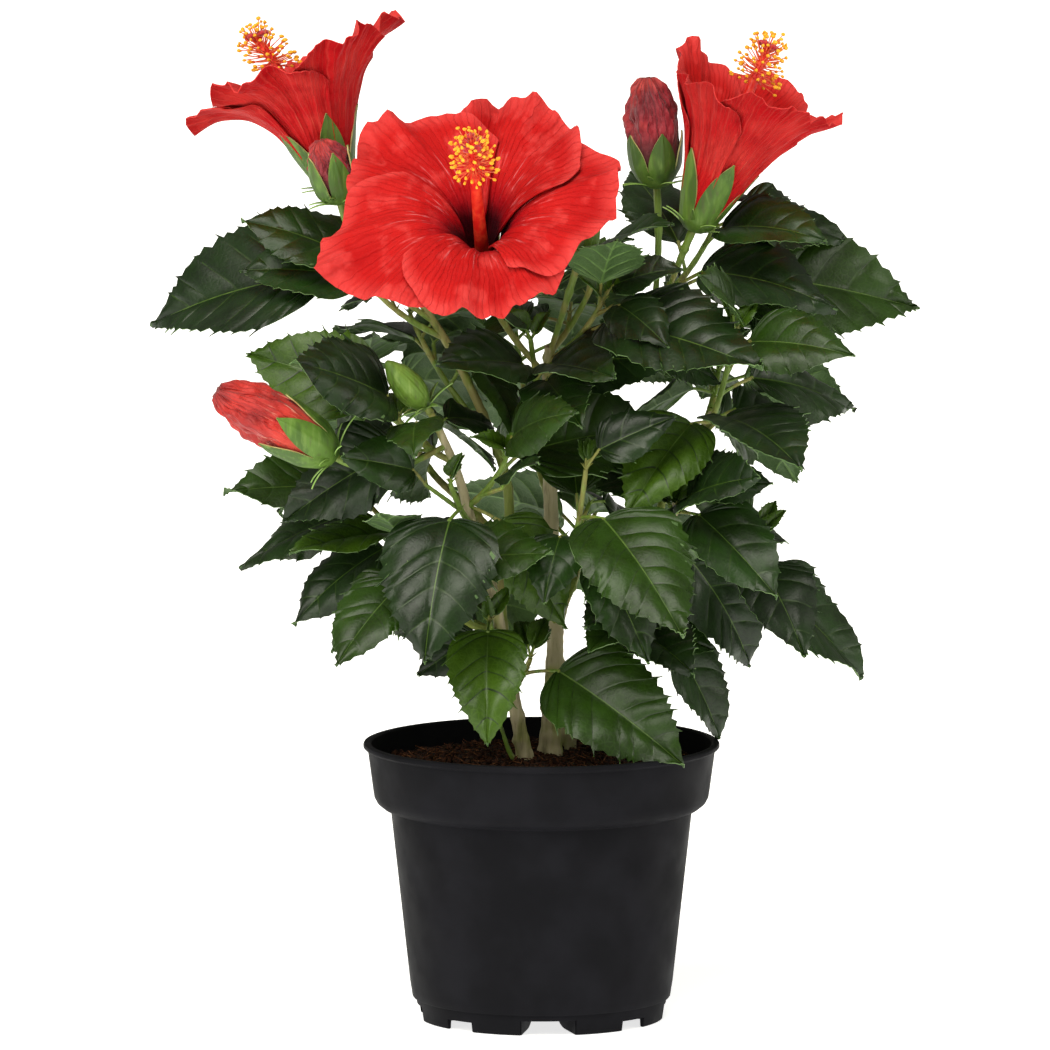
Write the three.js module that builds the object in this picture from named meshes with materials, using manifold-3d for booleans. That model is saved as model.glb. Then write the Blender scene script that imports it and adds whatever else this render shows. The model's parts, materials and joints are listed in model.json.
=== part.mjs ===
// Hibiscus shrub in its nursery pot: a clump of three woody stems with side boughs, toothed ovate leaves in
// shoots around them, three open funnel-shaped blooms and buds of several ages.
// Millimetres, +Z up, X to the right, Y to the back. The origin is on the pot's axis at its underside.

import * as THREE from "three";
import { mergeVertices } from "three/addons/utils/BufferGeometryUtils.js";
import Module from "manifold-3d";

const wasm = await Module();
wasm.setup();

// ---- driving dimensions ------------------------------------------------------------------------------------

const GAP = 0.3; // clearance between neighbouring solids

const POT = {
  height: 101.3,
  lip: { radius: 65, thickness: 1.9 }, // small flange around the mouth
  band: { topRadius: 63.4, footRadius: 61.3, footZ: 82.5 }, // the deep collar under the lip
  body: { topRadius: 55, topZ: 76.8, footRadius: 48, footZ: 13.5 },
  ring: { topRadius: 45.8, footRadius: 44.8, topZ: 7.6 }, // the foot ring under the body
  wall: 1.5,
  floor: { under: 6.2, top: 8 },
  bossRadius: 9, // central pad, level with the feet
  segments: 36,
};
const WIDE_NOTCH = { count: 4, width: 20.4, height: 5.4, phase: 3.3 };
const NARROW_NOTCH = { count: 4, width: 11.8, height: 3.6, phase: 48.3 };
const WEB = { innerRadius: 17, thickness: 1.3 }; // ribs that flank each wide notch
const DRAIN = { radius: 4.5, ring: 33 };

const SOIL = { top: 95, plateau: 28, edgeTop: 92.6, edgeRadius: 60.6, segments: 24 };

const LEAF = {
  halfWidth: 0.33, // of the blade's length
  thickness: 0.016, // of the blade's length, at the midrib
  stations: [0.12, 0.4, 0.72], // of the blade's length, where its outline bends
  petiole: 0.27, // of the blade's length
  petioleRadius: 0.8,
  petioleLift: 30, // degrees that the petiole rises above its blade
  bend: [0.25, 0.75], // radians that the blade droops along its length
  fold: [8, 20], // degrees that each half rises from the midrib
};
const PHYLLOTAXIS = 144; // degrees between one leaf and the next
const SIDESTEPS = [0, 14, -14, 28, -28, 42, -42]; // degrees a crowded leaf may turn aside
const PROBE = 1.5; // extra thickness of the solid that feels for neighbours

const COROLLA = {
  petals: 5,
  thickness: 1.2,
  rootSpan: 33, // degrees to each side of a petal's middle, at its root
  span: 60, // and further out, where it laps over its neighbour
  taper: 0.3, // how much shorter a petal is at its sides
  lap: 1.7, // how far apart two lapped petals lie
  throat: 3, // radius of the tube at its root
  across: 4,
  along: 4,
};
const CALYX = { lobes: 5, length: 27, baseRadius: 4.6, cupRadius: 7.4 };
const COLUMN = { rootRadius: 2.8, tipRadius: 1.5, filaments: 6, filamentLength: 9, antherRadius: 1.4 };

// ---- small geometry tools ----------------------------------------------------------------------------------

const V = (x, y, z) => new THREE.Vector3(x, y, z);
const UP = V(0, 0, 1);
const lerp = THREE.MathUtils.lerp;
const rad = THREE.MathUtils.degToRad;
const smooth = THREE.MathUtils.smoothstep;

// Unit vector of a compass heading (0 right, 90 back, 180 left, 270 front) and a rise above the level.
function towards(heading, rise) {
  const h = rad(heading);
  const r = rad(rise);
  return V(Math.cos(r) * Math.cos(h), Math.cos(r) * Math.sin(h), Math.sin(r));
}

// Seeded numbers from 0 to 1 (mulberry32).
function seeded(seed) {
  let state = seed >>> 0;
  return () => {
    state = (state + 0x6d2b79f5) >>> 0;
    let t = state;
    t = Math.imul(t ^ (t >>> 15), t | 1);
    t ^= t + Math.imul(t ^ (t >>> 7), t | 61);
    return ((t ^ (t >>> 14)) >>> 0) / 4294967296;
  };
}

// A closed geometry as a manifold-3d solid that faces out.
function solidOf(geometry) {
  const bare = geometry.clone();
  bare.deleteAttribute("normal");
  bare.deleteAttribute("uv");
  const merged = mergeVertices(bare, 1e-4);
  const index = merged.index.array;
  const kept = [];
  for (let i = 0; i < index.length; i += 3) {
    const [a, b, c] = index.slice(i, i + 3);
    if (a !== b && b !== c && a !== c) kept.push(a, b, c);
  }
  const make = (triangles) =>
    new wasm.Manifold(
      new wasm.Mesh({
        numProp: 3,
        vertProperties: merged.attributes.position.array,
        triVerts: new Uint32Array(triangles),
      }),
    );
  const solid = make(kept);
  return solid.volume() >= 0 ? solid : make(kept.reverse());
}

function geometryOf(solid) {
  const mesh = solid.getMesh();
  const geometry = new THREE.BufferGeometry();
  geometry.setAttribute("position", new THREE.BufferAttribute(mesh.vertProperties, 3));
  geometry.setIndex(new THREE.BufferAttribute(mesh.triVerts, 1));
  geometry.computeVertexNormals();
  return geometry;
}

// Closed geometries joined into one solid.
const fuse = (geometries) => geometries.map(solidOf).reduce((all, solid) => all.add(solid));

// What a cut leaves: the largest body, without loose scraps.
const largest = (solid) => solid.decompose().reduce((a, b) => (a.volume() >= b.volume() ? a : b));

// A closed skin over a row of rings, each a loop of points. The first and last are single points.
function loft(rings) {
  const points = rings.flat();
  const faces = [];
  let first = 0;
  for (let i = 0; i + 1 < rings.length; i++) {
    const next = first + rings[i].length;
    const sides = Math.max(rings[i].length, rings[i + 1].length);
    const here = (j) => first + (j % rings[i].length);
    const there = (j) => next + (j % rings[i + 1].length);
    for (let j = 0; j < sides; j++) {
      if (rings[i].length > 1) faces.push(here(j), here(j + 1), there(j));
      if (rings[i + 1].length > 1) faces.push(there(j), here(j + 1), there(j + 1));
    }
    first = next;
  }
  return new THREE.BufferGeometry().setFromPoints(points).setIndex(faces);
}

// A tapering tube along a curve, with flat ends. radiusAt takes the share of the way along.
function tube(curve, radiusAt, sides, steps, firstTangent) {
  const rings = [];
  let across = null;
  for (let i = 0; i <= steps; i++) {
    const t = i / steps;
    const tangent = i === 0 && firstTangent ? firstTangent : curve.getTangent(t);
    across ??= Math.abs(tangent.y) < 0.9 ? V(0, 1, 0) : V(1, 0, 0);
    across.addScaledVector(tangent, -across.dot(tangent)).normalize();
    const other = across.clone().cross(tangent);
    const middle = curve.getPoint(t);
    const ring = [];
    for (let j = 0; j < sides; j++) {
      const angle = (2 * Math.PI * j) / sides;
      const p = middle.clone().addScaledVector(across, radiusAt(t) * Math.cos(angle));
      ring.push(p.addScaledVector(other, radiusAt(t) * Math.sin(angle)));
    }
    if (i === 0) rings.push([middle]);
    rings.push(ring);
    if (i === steps) rings.push([middle.clone()]);
  }
  return loft(rings);
}

// A thin sheet given by surface(u, v, side), u and v from 0 to 1 and side 1 above or -1 below.
function sheet(surface, along, across) {
  const geometry = new THREE.BoxGeometry(1, 1, 1, across, along, 1);
  const place = geometry.attributes.position;
  for (let i = 0; i < place.count; i++) {
    const p = surface(place.getY(i) + 0.5, place.getX(i) + 0.5, Math.sign(place.getZ(i)));
    place.setXYZ(i, p.x, p.y, p.z);
  }
  return geometry;
}

// ---- pot and soil ------------------------------------------------------------------------------------------

// Turns an [r, z] profile that starts and ends on the axis about Z.
function turned(profile, segments) {
  const points = profile.map(([r, z]) => new THREE.Vector2(r, z));
  return new THREE.LatheGeometry(points, segments).rotateX(Math.PI / 2);
}

function potShell() {
  const { lip, band, body, ring, wall, floor, height } = POT;
  const lipUnder = height - lip.thickness;
  return turned(
    [
      [0, 0],
      [POT.bossRadius, 0],
      [POT.bossRadius + 0.6, floor.under],
      [ring.footRadius - wall - 0.4, floor.under],
      [ring.footRadius - wall, 0],
      [ring.footRadius, 0],
      [ring.topRadius, ring.topZ],
      [ring.topRadius + 0.9, ring.topZ + 0.4],
      [body.footRadius - 0.4, body.footZ - 3],
      [body.footRadius, body.footZ],
      [body.topRadius, body.topZ],
      [band.footRadius - 2.6, band.footZ - 4.4],
      [band.footRadius, band.footZ],
      [band.topRadius, lipUnder - 0.5],
      [lip.radius - 0.2, lipUnder],
      [lip.radius, height - 0.9],
      [lip.radius - 0.8, height],
      [band.topRadius - 0.9, height],
      [band.topRadius - wall, height - 1.2],
      [band.footRadius - wall, band.footZ],
      [body.topRadius - wall, body.topZ],
      [ring.topRadius - wall + 0.6, floor.top],
      [0, floor.top],
    ],
    POT.segments,
  );
}

// A block through the foot ring, standing at a compass angle.
function notch({ width, height }, angle) {
  const depth = 12;
  const block = new THREE.BoxGeometry(depth, width, 2 * height);
  return block.translate(POT.ring.footRadius - 1, 0, 0).rotateZ(rad(angle));
}

// One rib beside a wide notch: its lower edge comes down from the floor to the foot in a quarter round.
function web(angle, sideways) {
  const { under } = POT.floor;
  const outer = POT.ring.footRadius - 0.8;
  const shape = new THREE.Shape();
  shape.moveTo(WEB.innerRadius, under + 0.5);
  shape.quadraticCurveTo(WEB.innerRadius + 4, 0, WEB.innerRadius + 14, 0);
  shape.lineTo(outer, 0);
  shape.lineTo(outer, under + 0.5);
  const rib = new THREE.ExtrudeGeometry(shape, { depth: WEB.thickness, bevelEnabled: false, curveSegments: 4 });
  const lean = Math.atan2(WIDE_NOTCH.width / 2, POT.ring.footRadius) * sideways;
  rib.rotateX(Math.PI / 2).translate(0, sideways > 0 ? WEB.thickness : 0, 0);
  return rib.rotateZ(rad(angle) + lean);
}

function drainHole(angle) {
  const hole = new THREE.CylinderGeometry(DRAIN.radius, DRAIN.radius, 12, 10);
  return hole.rotateX(Math.PI / 2).translate(DRAIN.ring, 0, POT.floor.under + 1).rotateZ(rad(angle));
}

function pot() {
  const ribs = [];
  const cuts = [];
  for (let i = 0; i < WIDE_NOTCH.count; i++) {
    const quarter = (360 / WIDE_NOTCH.count) * i - 90;
    const wide = WIDE_NOTCH.phase + quarter;
    const narrow = NARROW_NOTCH.phase + quarter;
    ribs.push(web(wide, 1), web(wide, -1));
    cuts.push(notch(WIDE_NOTCH, wide), notch(NARROW_NOTCH, narrow), drainHole(narrow));
  }
  return solidOf(potShell()).subtract(fuse(cuts)).add(fuse(ribs));
}

function soil() {
  const { body, band, wall, floor, ring } = POT;
  const inside = wall + GAP;
  const profile = [
    [0, floor.top + GAP],
    [ring.topRadius - inside, floor.top + GAP],
    [body.topRadius - inside, body.topZ],
    [band.footRadius - inside - 0.2, band.footZ + 2],
    [SOIL.edgeRadius, SOIL.edgeTop],
    [SOIL.plateau, SOIL.top],
    [0, SOIL.top],
  ];
  return solidOf(turned(profile, SOIL.segments));
}

// ---- stems and boughs --------------------------------------------------------------------------------------

// Each limb is one tapering tube through a few set points. A stem rises from the soil with a small root flare;
// a bough starts on its parent limb, at a share of the way along it.
const STEM_FOOT = SOIL.top + GAP;
const LIMBS = [
  {
    name: "stem_left",
    radius: [2.5, 1.4],
    points: [[-6, 0], [-10, -4, 117], [-14, -6, 138], [-18, -11, 160], [-25, -16, 183], [-31, -21, 204], [-38, -25, 221]],
  },
  {
    name: "stem_middle",
    radius: [3.6, 1.9],
    points: [[3, 12], [4, 12, 116], [5, 13, 138], [4, 14, 167], [3, 12, 197], [2, 8, 226], [3, 4, 246]],
  },
  {
    name: "stem_right",
    radius: [2.7, 1.5],
    points: [[9, 24], [13, 25, 117], [19, 23, 132], [28, 19, 147], [41, 12, 170], [53, 5, 196], [62, 0, 222]],
  },
  {
    name: "bough_middle",
    parent: ["stem_left", 0.31],
    radius: [2.2, 1.3],
    points: [[-15, 0, 157], [-12, 4, 176], [-13, 7, 198], [-22, 8, 222], [-34, 8, 246], [-44, 6, 262]],
  },
  {
    name: "bough_left_low",
    parent: ["stem_left", 0.36],
    radius: [1.6, 1.1],
    points: [[-26, -15, 147], [-33, -20, 154], [-39, -24, 160]],
  },
  {
    name: "bough_right_low",
    parent: ["stem_right", 0.5],
    radius: [1.7, 1.1],
    points: [[40, 22, 148], [54, 20, 154], [66, 14, 158]],
  },
  {
    name: "bough_right_top",
    parent: ["stem_middle", 0.66],
    radius: [1.9, 1.3],
    points: [[11, 16, 208], [25, 22, 232], [39, 20, 254], [47, 12, 268]],
  },
  {
    name: "bough_front",
    parent: ["stem_middle", 0.36],
    radius: [1.7, 1.3],
    points: [[6, 2, 158], [9, -10, 165]],
  },
  {
    name: "bough_back",
    parent: ["stem_middle", 0.55],
    radius: [1.9, 1.2],
    points: [[2, 28, 190], [-4, 42, 206], [-6, 52, 224]],
  },
  {
    name: "bough_back_left",
    parent: ["bough_middle", 0.3],
    radius: [1.6, 1.1],
    points: [[-26, 22, 184], [-40, 34, 196], [-50, 40, 212]],
  },
  {
    name: "bough_back_right",
    parent: ["stem_right", 0.66],
    radius: [1.5, 1.1],
    points: [[46, 28, 192], [56, 40, 204], [62, 46, 218]],
  },
  {
    name: "bough_back_low",
    parent: ["stem_middle", 0.3],
    radius: [1.6, 1.1],
    points: [[8, 30, 146], [12, 44, 154], [14, 56, 160]],
  },
];
const LIMB_SIDES = 6;
const ROOT_FLARE = 0.4;
const limbs = new Map();

function growLimb({ name, parent, points, radius }) {
  const places = points.map(([x, y, z = STEM_FOOT]) => V(x, y, z));
  if (parent) places.unshift(limbs.get(parent[0]).curve.getPoint(parent[1]));
  const curve = new THREE.CatmullRomCurve3(places, false, "catmullrom", 0.5);
  const flare = parent ? 0 : ROOT_FLARE;
  const radiusAt = (t) => lerp(radius[0], radius[1], t) * (1 + flare * Math.exp(-22 * t));
  const steps = 2 * (places.length - 1);
  const grown = (extra) => {
    const stretched = extra > 0 ? carriedOn(curve, extra) : curve;
    return solidOf(tube(stretched, (t) => radiusAt(t) + extra, LIMB_SIDES, steps, parent ? null : UP));
  };
  const whole = grown(0);
  const solid = parent ? largest(whole.subtract(limbs.get(parent[0]).clear)) : whole;
  limbs.set(name, { curve, solid, clear: grown(GAP) });
  return solid;
}

// The same curve, whose last point lies a little further on.
function carriedOn(curve, extra) {
  const points = curve.points.map((p) => p.clone());
  points.at(-1).addScaledVector(curve.getTangent(1), extra);
  return new THREE.CatmullRomCurve3(points, false, "catmullrom", 0.5);
}

// ---- leaves ------------------------------------------------------------------------------------------------

// Half the width of a blade, as a share of its greatest, at a share of the way from base to tip.
const leafShape = (a) => (Math.pow(a, 0.5) * Math.pow(1 - a, 1.06)) / 0.379;

// The rings of one leaf: its petiole, then a blade that is lens-shaped across, droops along its midrib and is
// folded at it. Its upper face turns towards facing. extra thickens it on every side.
function leafRings(node, { heading, rise, blade, roll, bend, fold, width }, facing, extra = 0) {
  const lift = Math.min(65, rise + LEAF.petioleLift);
  const base = node.clone().addScaledVector(towards(heading, lift), blade * LEAF.petiole);
  const along = towards(heading, rise);
  const face = towards(...facing);
  face.addScaledVector(along, -face.dot(along)).normalize().applyAxisAngle(along, rad(roll));
  const side = along.clone().cross(face);
  const midrib = (a) =>
    base
      .clone()
      .addScaledVector(along, (blade * Math.sin(bend * a)) / bend)
      .addScaledVector(face, (-blade * (1 - Math.cos(bend * a))) / bend);
  const ring = (a, middle, half, raised, thick) => {
    const normal = along.clone().multiplyScalar(Math.sin(bend * a)).addScaledVector(face, Math.cos(bend * a));
    const corner = (s, n) => middle.clone().addScaledVector(side, s).addScaledVector(normal, n);
    return [corner(-half, raised), corner(0, thick), corner(half, raised), corner(0, -thick)];
  };
  const thin = LEAF.petioleRadius + extra;
  const thick = (blade * LEAF.thickness) / 2 + extra;
  const stalk = [[node.clone()], ring(0, node, thin, 0, thin), ring(0, base, thin, 0, thin)];
  const sides = LEAF.stations.map((a) => {
    const w = blade * LEAF.halfWidth * width * leafShape(a) + extra;
    return ring(a, midrib(a), w * Math.cos(rad(fold)), w * Math.sin(rad(fold)), thick);
  });
  return { stalk, blade: [...sides, [midrib(1)]] };
}

function leafSolid(node, spec, facing) {
  const { stalk, blade } = leafRings(node, spec, facing);
  return solidOf(loft([...stalk, ...blade]));
}

// What a leaf needs to itself: more room around its blade than around its petiole.
function leafFeelers(node, spec, facing) {
  const { blade } = leafRings(node, spec, facing, PROBE);
  const { stalk } = leafRings(node, spec, facing, GAP);
  const middle = (ring) => ring[1].clone().lerp(ring[3], 0.5);
  return {
    blade: solidOf(loft([[middle(stalk[2])], ...blade])),
    stalk: solidOf(loft([...stalk, [middle(stalk[2])]])),
  };
}

const standing = []; // what a new leaf has to miss: { owner, solid }

function touches(probe, owners) {
  const box = probe.boundingBox();
  return standing.some(({ owner, solid }) => {
    const b = solid.boundingBox();
    const apart = [0, 1, 2].some((i) => box.min[i] > b.max[i] || box.max[i] < b.min[i]);
    return !apart && !owners.includes(owner) && probe.intersect(solid).volume() > 0;
  });
}

// A curve that sets out level from a limb and turns up to its tip.
function sprig(start, tip) {
  const knee = V(lerp(start.x, tip.x, 0.6), lerp(start.y, tip.y, 0.6), lerp(start.z, tip.z, 0.35));
  return new THREE.QuadraticBezierCurve3(start, knee, tip);
}

// One shoot: a twig off its limb, with its leaves fused on. A leaf that has no room beside what already stands
// turns aside a little, and is left out where that doesn't help.
class Shoot {
  constructor(spec) {
    Object.assign(this, spec);
    const limb = limbs.get(spec.limb);
    this.curve = sprig(limb.curve.getPoint(spec.at), V(...spec.tip));
    this.solid = solidOf(tube(this.curve, (t) => lerp(1.3, 0.9, t), 5, 3)).subtract(limb.clear);
    this.random = seeded(spec.seed);
    standing.push({ owner: `${this.name} twig`, solid: this.solid });
  }

  between(low, high) {
    return low + (high - low) * this.random();
  }

  // Draws what varies from leaf to leaf, and adds the leaf where there is room.
  addLeaf(place) {
    const growth = {
      roll: this.between(-14, 14),
      bend: this.between(...LEAF.bend),
      fold: this.between(...LEAF.fold),
      width: this.between(0.92, 1.08),
    };
    const node = this.curve.getPoint(place.t);
    const own = [this.limb, `${this.name} twig`, this.name];
    for (const step of SIDESTEPS) {
      const leaf = { ...place, ...growth, heading: place.heading + step };
      const feelers = leafFeelers(node, leaf, this.facing);
      if (touches(feelers.blade, []) || touches(feelers.stalk, own)) continue;
      const solid = leafSolid(node, leaf, this.facing);
      this.solid = this.solid.add(solid);
      standing.push({ owner: this.name, solid });
      return;
    }
  }

  addSetLeaves() {
    for (const [t, heading, rise, blade] of this.set ?? []) this.addLeaf({ t, heading, rise, blade });
  }

  addSpiralLeaves() {
    const count = this.count ?? 0;
    for (let i = 0; i < count; i++) {
      const share = count > 1 ? i / (count - 1) : 1;
      this.addLeaf({
        t: lerp(0.2, 1, share),
        heading: this.turn + PHYLLOTAXIS * i + this.between(-12, 12),
        rise: lerp(-28, 30, share) + this.between(-8, 8),
        blade: lerp(this.blade[0], this.blade[1], share) * this.between(0.9, 1.1),
      });
    }
  }

  finish() {
    return largest(this.solid.subtract(limbs.get(this.limb).clear));
  }
}

// ---- blooms and buds ---------------------------------------------------------------------------------------

// A value set for each petal, blended from one petal's middle to the next.
function around(values, angle) {
  const x = THREE.MathUtils.euclideanModulo((angle * values.length) / 360, values.length);
  const i = Math.floor(x);
  return lerp(values[i], values[(i + 1) % values.length], smooth(x - i, 0, 1));
}

// The petals' middle surface in the bloom's own frame: the distance from the axis, the height and the slope at a
// share of its length from the root. It leaves the calyx as a tube and flares to the opening angle.
function flare(bloom, share, length, opening) {
  const steps = 16;
  const step = (share * length) / steps;
  let [r, z, angle] = [COROLLA.throat, 0, rad(bloom.tube)];
  for (let i = 0; i < steps; i++) {
    angle = rad(lerp(bloom.tube, opening, smooth(((i + 0.5) * share) / steps, ...bloom.flare)));
    r += Math.sin(angle) * step;
    z += Math.cos(angle) * step;
  }
  return { r, z, angle };
}

// A point of petal k: along from root to rim, across from -1 to 1, lift off the middle surface. Each petal laps
// over its neighbour on one side.
function petalPoint(bloom, k, along, across, lift) {
  const { petals, rootSpan, span, taper, lap } = COROLLA;
  const turn = (360 / petals) * k + across * lerp(rootSpan, span, smooth(along, 0.1, 0.45));
  const share = along * (1 - taper * across * across);
  const at = flare(bloom, share, around(bloom.petal, turn), around(bloom.opening, turn));
  const ruffle = bloom.ruffle * share ** 3 * Math.sin(rad(turn * 11));
  const off = lift - lap * across * smooth(along, 0, 0.3) + ruffle;
  const r = at.r - Math.cos(at.angle) * off;
  return V(r * Math.cos(rad(turn)), r * Math.sin(rad(turn)), at.z + Math.sin(at.angle) * off);
}

function corolla(bloom) {
  const half = COROLLA.thickness / 2;
  const petals = [];
  for (let k = 0; k < COROLLA.petals; k++) {
    const surface = (u, v, side) => petalPoint(bloom, k, u, 2 * v - 1, side * half);
    petals.push(sheet(surface, COROLLA.along, COROLLA.across));
  }
  return petals;
}

// A cup with one pointed lobe for each sepal: its size as a share of a full one, and how far from the axis its
// cup and the tips of its lobes stand.
function calyx(size, cup, tip) {
  const { lobes, length, baseRadius } = CALYX;
  const star = (inner, innerShare, outer, outerShare) => {
    const ring = [];
    for (let j = 0; j < 2 * lobes; j++) {
      const [r, share] = j % 2 ? [inner, innerShare] : [outer, outerShare];
      const angle = (Math.PI * j) / lobes;
      ring.push(V(r * Math.cos(angle), r * Math.sin(angle), share * length * size));
    }
    return ring;
  };
  const base = baseRadius * size;
  return loft([
    [V(0, 0, -0.06 * length * size)],
    star(base, 0, base, 0),
    star(cup, 0.3, cup, 0.3),
    star(cup * 1.08, 0.42, tip, 1),
    star(cup * 0.94, 0.35, cup * 0.94, 0.35),
    [V(0, 0, 0.3 * length * size)],
  ]);
}

// The staminal column: a rod with a brush of filaments, each ending in a pollen sac.
function stamens(length) {
  const { rootRadius, tipRadius, filaments, filamentLength, antherRadius } = COLUMN;
  const rod = tube(new THREE.LineCurve3(V(0, 0, 2), V(0, 0, length)), (t) => lerp(rootRadius, tipRadius, t), 5, 1);
  const parts = [rod];
  for (let i = 0; i < filaments; i++) {
    const root = V(0, 0, length * lerp(0.66, 0.97, i / filaments));
    const tip = root.clone().addScaledVector(towards(137.5 * i, 28), filamentLength);
    const thread = new THREE.LineCurve3(root, tip);
    parts.push(tube(thread, (t) => (t < 0.5 ? 0.4 : lerp(0.4, antherRadius, smooth(t, 0.55, 0.85))), 3, 3));
  }
  return parts;
}

// The stalk of a bloom or bud, from its limb to its foot.
function pedicel({ limb, at, base, heading, rise }) {
  const start = limbs.get(limb).curve.getPoint(at);
  const foot = V(...base);
  const axis = towards(heading, rise);
  const knee = foot.clone().addScaledVector(axis, -start.distanceTo(foot) * 0.45);
  const curve = new THREE.CubicBezierCurve3(start, start.clone().lerp(knee, 0.5), knee, foot.addScaledVector(axis, 1));
  return tube(curve, (t) => lerp(1.0, 1.5, t), 5, 4);
}

// Sets geometries made about +Z on a flower's foot, and joins them with its stalk.
function flower(parts, spec) {
  const { base, heading, rise, roll, limb } = spec;
  const turn = new THREE.Quaternion().setFromUnitVectors(UP, towards(heading, rise));
  turn.multiply(new THREE.Quaternion().setFromAxisAngle(UP, rad(roll)));
  const place = new THREE.Matrix4().compose(V(...base), turn, V(1, 1, 1));
  const placed = parts.map((geometry) => geometry.applyMatrix4(place));
  return largest(fuse([...placed, pedicel(spec)]).subtract(limbs.get(limb).clear));
}

function growBloom(bloom) {
  const tip = COROLLA.throat + CALYX.length * Math.tan(rad(bloom.tube)) + 2;
  const green = calyx(bloom.calyx, CALYX.cupRadius, tip);
  return flower([...corolla(bloom), green, ...stamens(bloom.column)], bloom);
}

// A closed bud, as shares of its length and radius. One whose petals show stands in a calyx that covers a share
// of it; a green one is all calyx.
const FURLED_PROFILE = [[0.06, 0.5], [0.2, 0.86], [0.45, 1], [0.72, 0.93], [0.92, 0.62]];
const GREEN_PROFILE = [[0.06, 0.6], [0.22, 0.9], [0.45, 1], [0.74, 0.78], [0.96, 0.3]];
const BUD_SIDES = 7;

function growBud(bud) {
  const { length, radius, cover } = bud;
  const rings = (cover ? FURLED_PROFILE : GREEN_PROFILE).map(([z, r]) => {
    const ring = [];
    for (let j = 0; j < BUD_SIDES; j++) {
      const angle = (2 * Math.PI * j) / BUD_SIDES;
      ring.push(V(radius * r * Math.cos(angle), radius * r * Math.sin(angle), length * z));
    }
    return ring;
  });
  const petals = loft([[V(0, 0, 0)], ...rings, [V(0, 0, length)]]);
  const parts = [petals];
  if (cover) parts.push(calyx((length * cover) / CALYX.length, radius * 0.88, radius * 1.12));
  return flower(parts, { roll: 0, ...bud });
}

const BLOOMS = [
  {
    name: "bloom_front",
    ...{ limb: "stem_middle", at: 0.9, base: [-21, -22, 279], heading: 264, rise: 50, roll: -10 },
    ...{ tube: 20, flare: [0.15, 0.8], petal: [70, 65, 67, 72, 54], opening: [78, 82, 90, 112, 106] },
    ...{ ruffle: 3.6, column: 60, calyx: 0.72 },
  },
  {
    name: "bloom_left",
    ...{ limb: "bough_middle", at: 1, base: [-74, 8, 303], heading: 160, rise: 70, roll: 20 },
    ...{ tube: 22, flare: [0.3, 1.1], petal: [69, 58, 62, 63, 62], opening: [70, 56, 98, 76, 56] },
    ...{ ruffle: 2.5, column: 62, calyx: 1 },
  },
  {
    name: "bloom_right",
    ...{ limb: "bough_right_top", at: 1, base: [55, 4, 289], heading: 12, rise: 67, roll: 0 },
    ...{ tube: 19, flare: [0.3, 1.1], petal: [65, 70, 68, 56, 62], opening: [50, 42, 38, 44, 48] },
    ...{ ruffle: 1.6, column: 70, calyx: 1 },
  },
];

const BUDS = [
  {
    name: "bud_left",
    ...{ limb: "stem_left", at: 0.92, base: [-75, -38, 211], heading: 188, rise: 31 },
    ...{ length: 49, radius: 9.8, cover: 0.55 },
  },
  {
    name: "bud_top",
    ...{ limb: "bough_right_top", at: 0.8, base: [42, 18, 303], heading: 175, rise: 86 },
    ...{ length: 40, radius: 9.4, cover: 0.5 },
  },
  {
    name: "bud_by_bloom",
    ...{ limb: "bough_middle", at: 0.92, base: [-73, -8, 300], heading: 200, rise: 74 },
    ...{ length: 24, radius: 7.4 },
  },
  {
    name: "bud_green",
    ...{ limb: "stem_left", at: 1, base: [-42, -29, 228], heading: 205, rise: 48 },
    ...{ length: 23, radius: 5.4 },
  },
  {
    name: "bud_young_top",
    ...{ limb: "stem_middle", at: 0.97, base: [14, -8, 280], heading: 340, rise: 72 },
    ...{ length: 17, radius: 4.6 },
  },
  {
    name: "bud_young_low",
    ...{ limb: "bough_left_low", at: 0.6, base: [-45, -45, 171], heading: 160, rise: 72 },
    ...{ length: 13, radius: 3.6 },
  },
];

// ---- shoots ------------------------------------------------------------------------------------------------

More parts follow.
